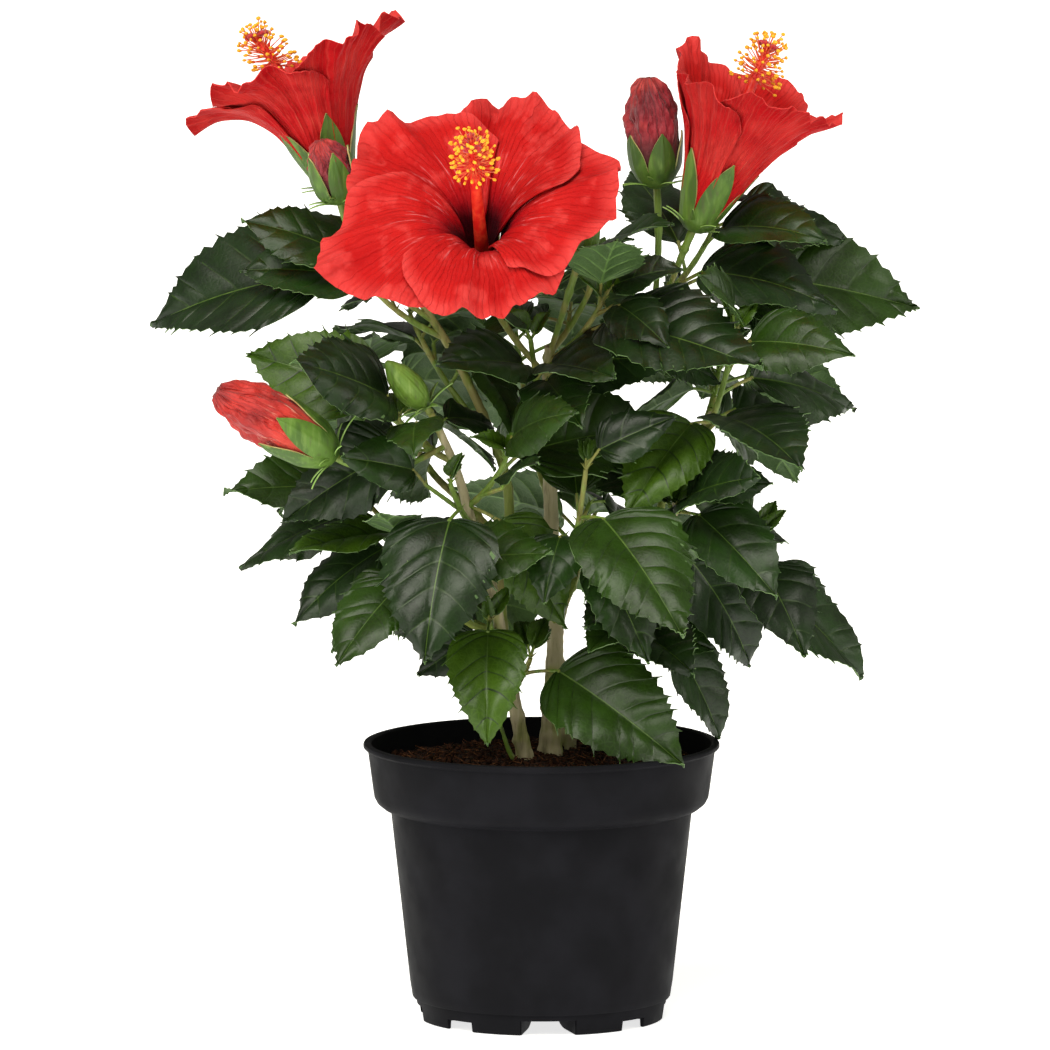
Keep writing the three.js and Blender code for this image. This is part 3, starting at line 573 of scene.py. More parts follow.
STUDIO_FLOOR = BacklitPanel("backlit_acrylic", "#F4F4F2", roughness=0.9, second="#F7F7F6", size=40, depth=0.0)


# ---- meshes ----


def normals_of(grid: Array) -> Array:
    """Returns the unit normals of a grid of points, from its rows crossed with its columns."""
    return unit(np.cross(np.gradient(grid, axis=0), np.gradient(grid, axis=1)))


def along_path(points: Array) -> tuple[Array, Array]:
    """Returns two unit rows square to a path, which turn with it and not about it.

    Args:
        points: The path's points, one to a row.

    Returns:
        The two directions at each point.
    """
    tangents = unit(np.gradient(points, axis=0))
    first = np.empty_like(points)
    side = vec(0, 1, 0) if abs(tangents[0][1]) < 0.9 else vec(1, 0, 0)
    for i, tangent in enumerate(tangents):
        side = unit(side - tangent * np.dot(side, tangent))
        first[i] = side
    return first, np.cross(tangents, first)


def cells(n: int, m: int) -> Array:
    """Returns the faces of a grid of n rows by m columns of points, each as four point numbers."""
    corner = (np.arange(n - 1)[:, None] * m + np.arange(m - 1)).ravel()
    return np.stack([corner, corner + m, corner + m + 1, corner + 1], -1)


def span_of(across: Array, along: Array) -> Array:
    """Returns a grid's map, from a row of places across from -1 to 1 and a column of places along."""
    shape = np.broadcast_shapes(along.shape, across.shape)
    return np.stack([np.broadcast_to(across / 2 + 0.5, shape), np.broadcast_to(along, shape)], -1)


class MeshDraft:
    """Points and faces that will be one piece."""

    def __init__(self) -> None:
        """Starts an empty draft."""
        self.points: list[Array] = []
        self.spans: list[Array] = []
        self.faces: list[Array] = []
        self.slots: list[Array] = []
        self.finishes: list[Finish] = []
        self.count = 0

    def add(self, points: Array, faces: Array, finish: Finish, span: Array | None = None) -> int:
        """Adds points and faces.

        Args:
            points: Their places in millimetres, one to a row.
            faces: Rows of three or four point numbers.
            finish: One finish for all of them.
            span: Each point's place across and along, from 0 to 1.

        Returns:
            The number of the first point added.
        """
        first = self.count
        self.points.append(points)
        self.spans.append(np.zeros((len(points), 2)) if span is None else span)
        self.count += len(points)
        self.add_faces(faces + first, finish)
        return first

    def add_faces(self, faces: Array, finish: Finish) -> None:
        """Adds faces between points already there."""
        if finish not in self.finishes:
            self.finishes.append(finish)
        self.faces.append(faces)
        self.slots.append(np.full(len(faces), self.finishes.index(finish)))

    def add_rings(
        self,
        rings: Array,
        ends: Sequence[Array],
        finish: Finish,
        span: Array | None = None,
        falling: bool = False,
    ) -> None:
        """Adds a surface of rings of points, closed at both ends by fans of triangles.

        Args:
            rings: Points, rings by sides, each ring counter-clockwise from above.
            ends: The middle points of the fans on the first and the last ring.
            finish: Its finish.
            span: Each point's place across and along.
            falling: Whether the rings run from the top down, and not from the foot up.
        """
        count, sides = rings.shape[:2]
        points = np.concatenate([rings.reshape(-1, 3), ends])
        column = np.arange(sides)
        step = np.roll(column, -1)
        row = np.arange(count - 1)[:, None] * sides
        quads = np.stack([row + column, row + step, row + sides + step, row + sides + column], -1)
        last = (count - 1) * sides
        fans = [
            np.stack([step, column, np.full(sides, len(points) - 2)], -1),
            np.stack([last + column, last + step, np.full(sides, len(points) - 1)], -1),
        ]
        quads, fans = quads.reshape(-1, 4), np.concatenate(fans)
        if falling:
            quads, fans = quads[:, [0, 3, 2, 1]], fans[:, [1, 0, 2]]
        start = self.add(points, quads, finish, span)
        self.add_faces(fans + start, finish)

    def add_tube(
        self, path: Array, radii: Array, finish: Finish, sides: int = 8, relief: Amount = 0.0
    ) -> None:
        """Adds a closed tube along a path.

        Args:
            path: Points along its middle.
            radii: Its radius at each.
            finish: Its finish.
            sides: How many sides it has.
            relief: How far each point stands out, as one number or an array of steps by sides.
        """
        first, second = along_path(path)
        angle = ring_angles(sides)
        reach = radii[:, None] + relief * np.ones((len(path), sides))
        c, s = np.cos(angle)[None, :, None], np.sin(angle)[None, :, None]
        rings = path[:, None] + reach[:, :, None] * (c * first[:, None] + s * second[:, None])
        row = np.repeat(np.linspace(0, 1, len(path)), sides)
        span = np.stack([np.tile(np.arange(sides) / sides, len(path)), row], -1)
        self.add_rings(rings, [path[0], path[-1]], finish, np.concatenate([span, [[0, 0], [0, 1]]]))

    def add_sheet(
        self,
        grid: Array,
        thickness: Amount,
        front: Finish,
        back: Finish,
        rim: Finish,
        span: Array | None = None,
        ribs: Sequence[tuple[Array, Finish, Finish]] = (),
    ) -> None:
        """Adds a thin closed sheet whose front is a grid of points.

        Args:
            grid: Points, rows by columns. Its normals point to the front.
            thickness: How far the back lies behind the front, one number or one to a point.
            front: The front's finish.
            back: The back's finish.
            rim: The finish of its edge.
            span: Each point's place across and along.
            ribs: Masks of faces that are ribs, each with its finishes in front and behind.
        """
        n, m = grid.shape[:2]
        behind = grid - normals_of(grid) * np.broadcast_to(thickness, (n, m))[:, :, None]
        flat = np.concatenate([grid.reshape(-1, 3), behind.reshape(-1, 3)])
        spans = None if span is None else np.concatenate([span.reshape(-1, 2)] * 2)
        quads = cells(n, m)
        plain = ~np.any([mask.ravel() for mask, _, _ in ribs], axis=0) if ribs else np.ones(len(quads), bool)
        start = self.add(flat, quads[plain], front, spans)
        hind = quads[:, ::-1] + start + n * m
        self.add_faces(hind[plain], back)
        for mask, above, below in ribs:
            self.add_faces(quads[mask.ravel()] + start, above)
            self.add_faces(hind[mask.ravel()], below)
        index = np.arange(n * m).reshape(n, m)
        edge = np.concatenate([index[0], index[1:, -1], index[-1, -2::-1], index[-2:0:-1, 0]])
        after = np.roll(edge, -1)
        rim_quads = np.stack([edge, after, after + n * m, edge + n * m], -1)
        self.add_faces(rim_quads + start, rim)

    def body(self, name: str, sharp: float = 55.0) -> bpy.types.Object:
        """Makes an object of the draft.

        Args:
            name: The object's name.
            sharp: The angle in degrees above which an edge shows as an edge.

        Returns:
            The new object.
        """
        mesh = bpy.data.meshes.new(name)
        places = np.concatenate(self.points) * MM
        corners = np.concatenate([f.ravel() for f in self.faces])
        sizes = np.concatenate([np.full(len(f), f.shape[1]) for f in self.faces])
        mesh.vertices.add(len(places))
        mesh.vertices.foreach_set("co", places.astype(np.float32).ravel())
        mesh.loops.add(len(corners))
        mesh.loops.foreach_set("vertex_index", corners.astype(np.int32))
        mesh.polygons.add(len(sizes))
        mesh.polygons.foreach_set("loop_start", (np.cumsum(sizes) - sizes).astype(np.int32))
        mesh.polygons.foreach_set("material_index", np.concatenate(self.slots).astype(np.int32))
        mesh.update(calc_edges=True)
        layer = mesh.uv_layers.new(name="span")
        spans = np.concatenate(self.spans)[corners]
        layer.uv.foreach_set("vector", spans.astype(np.float32).ravel())
        mesh.shade_smooth()
        mesh.set_sharp_from_angle(angle=math.radians(sharp))
        for finish in self.finishes:
            mesh.materials.append(finish.material())
        made = bpy.data.objects.new(name, mesh)
        bpy.context.scene.collection.objects.link(made)
        return made

    def piece(self, name: str, slot: str, nodes: Sequence[str] = (), sharp: float = 55.0) -> None:
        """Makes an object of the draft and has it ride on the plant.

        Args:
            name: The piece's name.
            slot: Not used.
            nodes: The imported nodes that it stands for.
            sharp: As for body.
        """
        ride_along(self.body(name, sharp), nodes)


def ride_along(made: bpy.types.Object, nodes: Sequence[str]) -> None:
    """Has a piece ride on the plant and stand for nodes, and reports it."""
    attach(made, "root")
    if nodes:
        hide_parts(*nodes)
    made.data.calc_loop_triangles()
    log.info("%s: %d triangles", made.name, len(made.data.loop_triangles))


# ---- pot and soil ----


@dataclass(frozen=True)
class NurseryPot:
    """The moulded pot: a lip, a deep band, a tapering body and a foot ring with notches.

    Its notches, drain holes and ribs repeat around it.
    """

    height: float = 101.3
    lip_radius: float = 65.0
    lip_thickness: float = 1.9
    band_top: float = 63.4
    band_foot: float = 61.3
    band_z: float = 82.5
    body_top: float = 55.0
    body_top_z: float = 76.8
    body_foot: float = 48.0
    body_foot_z: float = 13.5
    ring_top: float = 45.8
    ring_foot: float = 44.8
    ring_z: float = 7.6
    wall: float = 1.5
    floor_under: float = 6.2
    floor_top: float = 8.0
    boss: float = 9.0
    segments: int = 176
    wide_notch: Place = (20.4, 5.4, 3.3)  # width, height, phase in degrees
    narrow_notch: Place = (11.8, 3.6, 48.3)
    rib_inner: float = 17.0
    rib_thickness: float = 1.3
    drain_radius: float = 4.5
    drain_ring: float = 33.0
    drain_sides: int = 32
    repeats: int = 4  # of the notches, holes and ribs

    def profile(self) -> list[Pair]:
        """Returns the wall's outline as radius and height, from under the floor round to its top."""
        top, lip, wall = self.height, self.height - self.lip_thickness, self.wall
        foot, ring, ring_z = self.ring_foot, self.ring_top, self.ring_z
        body, body_z, band, band_z = self.body_top, self.body_top_z, self.band_foot, self.band_z
        return [
            (0, 0),
            (self.boss - 0.5, 0),
            (self.boss, 0.4),
            (self.boss + 0.6, self.floor_under),
            (foot - wall - 0.4, self.floor_under),
            (foot - wall, 0.3),
            (foot - wall + 0.3, 0),
            (foot - 0.3, 0),
            (foot, 0.35),
            (ring, ring_z - 0.25),
            (ring + 0.2, ring_z),
            (ring + 1.1, ring_z + 0.15),
            (ring + 1.35, ring_z + 0.5),
            (self.body_foot - 0.5, self.body_foot_z - 3),
            (self.body_foot, self.body_foot_z),
            (body - 0.35, body_z - 3.4),
            (body, body_z - 0.2),
            (body + 0.5, body_z + 0.35),
            (band - 3.4, band_z - 4.8),
            (band - 1.3, band_z - 3.1),
            (band - 0.3, band_z - 1.2),
            (band, band_z + 0.6),
            (self.band_top, lip - 0.7),
            (self.band_top + 0.35, lip - 0.25),
            (self.lip_radius - 0.35, lip),
            (self.lip_radius, lip + 0.4),
            (self.lip_radius, top - 0.7),
            (self.lip_radius - 0.25, top - 0.2),
            (self.lip_radius - 0.8, top),
            (self.band_top - 0.7, top),
            (self.band_top - 1.3, top - 0.5),
            (self.band_top - wall, top - 1.8),
            (band - wall, band_z),
            (body - wall, body_z),
            (ring - wall + 0.6, self.floor_top),
            (0, self.floor_top),
        ]

    def shell(self) -> MeshDraft:
        """Returns the turned wall and floor, closed on the axis."""
        draft = MeshDraft()
        ring = np.array(self.profile()[1:-1])
        rings = polar(ring[:, :1], ring_angles(self.segments), ring[:, 1:])
        draft.add_rings(rings, [vec(0, 0, 0), vec(0, 0, self.floor_top)], POT_PLASTIC)
        return draft

    @staticmethod
    def block(
        outline: Sequence[Pair], low: float, high: float, turn: float, flat: bool
    ) -> MeshDraft:
        """Returns a block of an outline.

        Args:
            outline: Its corners, as X and Z, or as X and Y where it lies flat.
            low: Where it starts, along the remaining axis.
            high: Where it ends.
            turn: Its compass angle about the pot's axis, in radians.
            flat: Whether the outline lies flat.

        Returns:
            The block as a draft.
        """
        n = len(outline)
        ends = []
        for depth in (low, high):
            ends.append([vec(a, b, depth) if flat else vec(a, -depth, b) for a, b in outline])
        spun = np.array(ends[0] + ends[1]) @ spin(turn)
        i = np.arange(n)
        j = np.roll(i, -1)
        draft = MeshDraft()
        draft.add(spun, np.stack([i, j, j + n, i + n], -1), POT_PLASTIC)
        fan = np.arange(1, n - 1)
        draft.add_faces(np.stack([np.zeros_like(fan), fan + 1, fan], -1), POT_PLASTIC)
        draft.add_faces(np.stack([np.full_like(fan, n), n + fan, n + fan + 1], -1), POT_PLASTIC)
        return draft

    def turn(self, i: int, phase: float) -> float:
        """Returns the angle in radians of the i-th of what repeats round the pot, counted from its front."""
        return math.radians(360 / self.repeats * i - 90 + phase)

    def cuts(self) -> MeshDraft:
        """Returns the notches through the foot ring and the drain holes."""
        out = MeshDraft()
        near, far = self.ring_foot - 7, self.ring_foot + 5
        for i in range(self.repeats):
            for width, height, phase in (self.wide_notch, self.narrow_notch):
                box = [(near, -height), (far, -height), (far, height), (near, height)]
                merge(out, self.block(box, -width / 2, width / 2, self.turn(i, phase), flat=False))
            turn = self.turn(i, self.narrow_notch[2])
            r, ring = self.drain_radius, self.drain_ring
            hole = [(ring + r * math.cos(a), r * math.sin(a)) for a in ring_angles(self.drain_sides)]
            merge(out, self.block(hole, self.floor_under - 5, self.floor_top + 5, turn, flat=True))
        return out

    def ribs(self) -> MeshDraft:
        """Returns the ribs that flank each wide notch, with a quarter-round lower edge."""
        out = MeshDraft()
        top = self.floor_under + 0.5
        outer = self.ring_foot - 0.8
        inner = self.rib_inner
        bend = [(inner + 4 * 2 * t * (1 - t) + 14 * t * t, top * (1 - t) ** 2) for t in np.linspace(0, 1, 9)]
        outline = [*bend, (outer, 0), (outer, top)]
        lean = math.atan2(self.wide_notch[0] / 2, self.ring_foot)
        for i in range(self.repeats):
            for side in (-1, 1):
                turn = self.turn(i, self.wide_notch[2]) + side * lean
                low = -self.rib_thickness if side > 0 else 0.0
                merge(out, self.block(outline, low, low + self.rib_thickness, turn, flat=False))
        return out

    def build(self) -> None:
        """Makes the pot: its shell, less the notches and holes, with the ribs."""
        shell = self.shell().body("nursery_pot")
        for name, draft, operation in (("cut", self.cuts(), "DIFFERENCE"), ("rib", self.ribs(), "UNION")):
            other = draft.body(f"pot_{name}")
            step = shell.modifiers.new(name, "BOOLEAN")
            step.object, step.operation, step.solver = other, operation, "EXACT"
            settle(shell, sharp=28)
            bpy.data.objects.remove(other)
        ride_along(shell, ["pot"])


def merge(into: MeshDraft, other: MeshDraft) -> None:
    """Adds all of one draft to another."""
    start = into.count
    into.points += other.points
    into.spans += other.spans
    into.count += other.count
    for faces, slots in zip(other.faces, other.slots):
        into.add_faces(faces + start, other.finishes[slots[0]])


def settle(piece: bpy.types.Object, sharp: float) -> None:
    """Applies a piece's modifiers, and shades it smooth up to an angle in degrees."""
    bpy.context.view_layer.update()
    evaluated = piece.evaluated_get(bpy.context.evaluated_depsgraph_get())
    mesh = bpy.data.meshes.new_from_object(evaluated)
    piece.modifiers.clear()
    piece.data = mesh
    mesh.shade_smooth()
    mesh.set_sharp_from_angle(angle=math.radians(sharp))


@dataclass(frozen=True)
class PeatFill:
    """The pot's filling of peat: a crumbly surface, loose crumbs and fibres, over a plain body."""

    top: float = 95.0
    plateau: float = 28.0
    edge_top: float = 92.6
    edge_radius: float = 60.6
    walls: tuple[Pair, ...] = ((60.0, 90.6), (59.4, 84.5), (53.2, 76.8), (44.0, 8.3))
    sectors: int = 200
    rings: int = 66
    crumbs: int = 1900
    fibres: int = 420

    def height(self, x: Array, y: Array) -> Array:
        """Returns the surface's height at places, with its crumbly unevenness."""
        r = np.hypot(x, y)
        share = np.clip((r - self.plateau) / (self.edge_radius - self.plateau), 0, 1)
        level = lerp(self.top, self.edge_top, share)
        rough = np.zeros_like(r)
        rng = np.random.default_rng(5)
        for size, lift in ((24, 0.5), (11, 0.45), (5.5, 0.4), (2.9, 0.35), (1.7, 0.22)):
            for _ in range(3):
                heading = rng.uniform(0, 2 * math.pi)
                along = x * math.cos(heading) + y * math.sin(heading)
                rough += lift * np.sin(along * 2 * math.pi / size + rng.uniform(0, 6)) / 3
        return level + rough

    def surface(self) -> MeshDraft:
        """Returns the filling's body, with a fine uneven top."""
        angle = ring_angles(self.sectors)
        radius = np.linspace(0.4, self.edge_radius, self.rings)[:, None]
        x, y = radius * np.cos(angle), radius * np.sin(angle)
        top = np.stack([x, y, self.height(x, y)], -1)
        walls = np.array(self.walls)
        side = polar(walls[:, :1], angle, walls[:, 1:])
        draft = MeshDraft()
        ends = [top[0].mean(0), vec(0, 0, walls[-1, 1])]
        draft.add_rings(np.concatenate([top, side]), ends, PEAT, falling=True)
        return draft

    def scatter(self, rng: Generator, margin: float) -> Array:
        """Returns a random place on the surface, at least margin inside its edge."""
        r = (self.edge_radius - margin) * math.sqrt(rng.uniform())
        a = rng.uniform(0, 2 * math.pi)
        x, y = r * math.cos(a), r * math.sin(a)
        return vec(x, y, float(self.height(np.array([x]), np.array([y]))[0]))

    def loose_crumbs(self) -> MeshDraft:
        """Returns loose lumps of peat, each a dented ball."""
        rng = np.random.default_rng(8)
        draft = MeshDraft()
        ball, faces = unit_ball(4, 6)
        for _ in range(self.crumbs):
            size = 0.45 + 1.3 * rng.uniform() ** 2.4
            dents = 1 + rng.uniform(-0.3, 0.3, (len(ball), 1))
            squash = rng.uniform(0.6, 1.2, 3)
            place = self.scatter(rng, 2.5) + vec(0, 0, 0.25 * size)
            finish = PEAT_CRUMB if rng.uniform() < 0.65 else PEAT
            draft.add(ball * dents * squash * size + place, faces, finish)
        return draft

    def loose_fibres(self) -> MeshDraft:
        """Returns the bent fibres that lie on the surface."""
        rng = np.random.default_rng(9)
        draft = MeshDraft()
        for _ in range(self.fibres):
            place = self.scatter(rng, 6)
            reach = towards(rng.uniform(0, 360), rng.uniform(-8, 22)) * rng.uniform(2.5, 7)
            sag = towards(rng.uniform(0, 360), 0) * rng.uniform(0.5, 2)
            start = place + vec(0, 0, 0.4)
            path = walk(Bezier((start, start + reach / 2 + sag, start + reach)), 4)
            radii = np.full(5, rng.uniform(0.12, 0.24))
            draft.add_tube(path, radii, PEAT_FIBRE, sides=4)
        return draft

    def build(self) -> None:
        """Makes the body, the loose crumbs and the fibres."""
        self.surface().piece("peat_fill", "soil", ["soil"], sharp=80)
        self.loose_crumbs().piece("peat_crumbs", "soil", sharp=80)
        self.loose_fibres().piece("peat_fibres", "soil", sharp=80)


def unit_ball(rings: int, sectors: int) -> tuple[Array, Array]:
    """Returns the points and triangles of a ball of radius one, its poles on Z."""
    points = [vec(0, 0, -1)]
    for i in range(1, rings):
        z = -math.cos(math.pi * i / rings)
        r = math.sin(math.pi * i / rings)
        points += [vec(r * math.cos(a), r * math.sin(a), z) for a in ring_angles(sectors)]
    points.append(vec(0, 0, 1))
    faces = []
    top, last = len(points) - 1, 1 + (rings - 2) * sectors
    for j in range(sectors):
        k = (j + 1) % sectors
        faces += [(0, 1 + k, 1 + j), (top, last + j, last + k)]
        for i in range(rings - 2):
            a, b = 1 + i * sectors, 1 + (i + 1) * sectors
            faces += [(a + j, a + k, b + k), (a + j, b + k, b + j)]
    return np.array(points), np.array(faces)


# ---- stems and boughs ----

STEM_FOOT = 95.3  # height of the soil that the stems stand on
ROOT_FLARE = 0.4
STEPS_TO_A_POINT = 24
LIMB_SIDES = 22


@dataclass(frozen=True)
class Limb:
    """A stem or bough: one tapering limb through set points.

    A bough starts on its parent's middle, at a share of the way along it.
    """

    name: str
    radius: Pair
    points: tuple[tuple[float, ...], ...]
    parent: tuple[str, float] | None = None

    def curve(self) -> Spline:
        """Returns the line along the limb's middle."""
        places = [(p[0], p[1], p[2] if len(p) > 2 else STEM_FOOT) for p in self.points]
        if self.parent:
            places.insert(0, tuple(LIMBS[self.parent[0]].curve().at(self.parent[1])))
        return Spline(tuple(places))

    def add_to(self, draft: MeshDraft, finish: Finish, seed: int) -> None:
        """Adds the limb to a draft, with swollen leaf scars and ridged bark."""
        curve = self.curve()
        steps = STEPS_TO_A_POINT * len(self.points)
        path = walk(curve, steps)
        share = np.linspace(0, 1, steps + 1)
        radii = lerp(self.radius[0], self.radius[1], share)
        if not self.parent:
            radii = radii * (1 + ROOT_FLARE * np.exp(-22 * share))
            path[0] -= UP * 2.5
        lengths = np.cumsum(np.linalg.norm(np.diff(path, axis=0), axis=1))
        length = np.concatenate([[0], lengths])[:, None]
        angle = ring_angles(LIMB_SIDES)[None]
        rng = np.random.default_rng(seed)
        relief = 0.1 * np.sin(3 * angle + 0.05 * length) + 0.07 * np.sin(5 * angle - 0.11 * length + 1)
        relief = relief + 0.06 * np.sin(7 * angle + 0.6 * np.sin(length * 0.4)) + 0.05 * np.sin(length * 1.9)
        place, turn = rng.uniform(6, 12), rng.uniform(0, 6)
        while place < length[-1, 0] - 3:
            ring = np.exp(-(((length - place) / 1.3) ** 2))
            apart = np.angle(np.exp(1j * (angle - turn)))
            relief = relief + ring * (0.22 + 0.75 * np.exp(-((apart / 0.55) ** 2)))
            place += rng.uniform(9, 17)
            turn += math.radians(PHYLLOTAXIS)
        scale = radii[:, None] / 2.6
        draft.add_tube(path, radii, finish, LIMB_SIDES, relief * scale)


ALL_LIMBS = (
    Limb(
        "stem_left", (2.5, 1.4),
        ((-6, 0), (-10, -4, 117), (-14, -6, 138), (-18, -11, 160), (-25, -16, 183), (-31, -21, 204),
         (-38, -25, 221)),
    ),
    Limb(
        "stem_middle", (3.6, 1.9),
        ((3, 12), (4, 12, 116), (5, 13, 138), (4, 14, 167), (3, 12, 197), (2, 8, 226), (3, 4, 246)),
    ),
    Limb(
        "stem_right", (2.7, 1.5),
        ((9, 24), (13, 25, 117), (19, 23, 132), (28, 19, 147), (41, 12, 170), (53, 5, 196), (62, 0, 222)),
    ),
    Limb(
        "bough_middle", (2.2, 1.3),
        ((-15, 0, 157), (-12, 4, 176), (-13, 7, 198), (-22, 8, 222), (-34, 8, 246), (-44, 6, 262)),
        ("stem_left", 0.31),
    ),
    Limb(
        "bough_left_low", (1.6, 1.1), ((-26, -15, 147), (-33, -20, 154), (-39, -24, 160)), ("stem_left", 0.36)
    ),
    Limb("bough_right_low", (1.7, 1.1), ((40, 22, 148), (54, 20, 154), (66, 14, 158)), ("stem_right", 0.5)),
    Limb(
        "bough_right_top", (1.9, 1.3),
        ((11, 16, 208), (25, 22, 232), (39, 20, 254), (47, 12, 268)), ("stem_middle", 0.66),
    ),
    Limb("bough_front", (1.7, 1.3), ((6, 2, 158), (9, -10, 165)), ("stem_middle", 0.36)),
    Limb("bough_back", (1.9, 1.2), ((2, 28, 190), (-4, 42, 206), (-6, 52, 224)), ("stem_middle", 0.55)),
    Limb(
        "bough_back_left", (1.6, 1.1), ((-26, 22, 184), (-40, 34, 196), (-50, 40, 212)), ("bough_middle", 0.3)
    ),
    Limb("bough_back_right", (1.5, 1.1), ((46, 28, 192), (56, 40, 204), (62, 46, 218)), ("stem_right", 0.66)),
    Limb("bough_back_low", (1.6, 1.1), ((8, 30, 146), (12, 44, 154), (14, 56, 160)), ("stem_middle", 0.3)),
)
LIMBS = {limb.name: limb for limb in ALL_LIMBS}


class StemKind(Enum):
    """The two ages of limb: the name's start, the piece, its slot and its bark."""

    STEM = ("stem_", "woody_stems", "stem", OLD_BARK)
    BOUGH = ("bough_", "green_boughs", "bough", GREEN_BARK)


class Framework:
    """The shrub's stems and boughs."""

    def build(self) -> None:
        """Makes one piece of the stems and one of the boughs."""
        for kind in StemKind:
            start, name, slot, bark = kind.value
            chosen = [limb for limb in LIMBS.values() if limb.name.startswith(start)]
            draft = MeshDraft()
            for seed, limb in enumerate(chosen):
                limb.add_to(draft, bark, seed)
            draft.piece(name, slot, [limb.name for limb in chosen])


# ---- leaves ----


@dataclass(frozen=True)
class LeafForm:
    """The measures that all leaves share, mostly as shares of the blade's length."""

    half_width: float = 0.355
    petiole: float = 0.27
    petiole_radius: float = 0.8
    petiole_lift: float = 30.0
    bend: Pair = (0.25, 0.75)
    fold: Pair = (8.0, 20.0)
    thickness: float = 0.32  # mm
    rib: float = 0.007  # half the midrib's width at its foot
    lag: float = 0.8  # how far forward a side vein runs, as a share of the half width
    quilt: float = 0.013  # how far the blade bulges between side veins
    wave: float = 0.035  # how far its edge waves up and down
    tooth: float = 0.046
    vein: float = 0.045  # half a side vein's width, as a share of their spacing
    columns: tuple[float, ...] = (0.14, 0.3, 0.47, 0.64, 0.82, 1.0)


FORM = LeafForm()
PHYLLOTAXIS = 144  # degrees between one leaf and the next
SIDESTEPS = (0, 14, -14, 28, -28, 42, -42)
TIP_MATCH = 0.5  # how near a packed corner lies to the tip of a leaf that its solid has
AXIL_LEAVES = 5  # finer leaves wanted on each shoot
YOUNG_LEAVES = 3  # at each shoot's tip


def leaf_shape(a: Array) -> Array:
    """Returns half the width of a blade, as a share of its greatest, at shares from base to tip."""
    return np.sqrt(a) * (1 - a) ** 1.06 / 0.379


@dataclass(frozen=True)
class LeafRows:
    """The rows of a blade: one on each side vein, one at each flank of it, and three between veins."""

    centre: Array  # share of the way along the edge
    offset: Array  # how far a flank lies from its vein, at the midrib
    phase: Array  # 0 on a vein, rising to 1 at the next
    toothed: Array  # whether the row ends on the toothed part of the edge
    is_vein: Array  # whether the face after the row is on a vein

    @classmethod
    def of(cls, veins: int, rng: Generator) -> "LeafRows":
        """Returns the rows of a blade with some unevenly set side veins above the three at its base."""
        number = np.arange(veins)
        upper = (number + rng.uniform(-0.22, 0.22, veins) * (number > 0)) / (veins - 1)
        upper = 0.31 + 0.66 * upper**0.93
        veins = np.concatenate([[0.0, 0.09, 0.2], np.minimum(upper, 0.975), [1.0]])
        rows = []
        for i, (start, end) in enumerate(zip(veins, veins[1:])):
            gap = end - start
            for f in (-FORM.vein, 0.0, FORM.vein, 0.3, 0.55, 0.8):
                if i == 0 and f < 0:
                    continue
                flank = abs(f) == FORM.vein
                place = (start, f * gap) if flank else (start + f * gap, 0.0)
                rows.append((*place, f % 1.0, i >= 3, f <= 0.0 and i > 0))
        rows.append((1.0, 0.0, 0.0, False, False))
        *columns, is_vein = (np.array(column) for column in zip(*rows))
        return cls(*columns, is_vein[:-1])


@dataclass(frozen=True)
class Growth:
    """How one leaf has grown: where on its twig, which way, and how it is bent."""

    t: float
    heading: float
    rise: float
    blade: float
    roll: float
    bend: float
    fold: float
    width: float


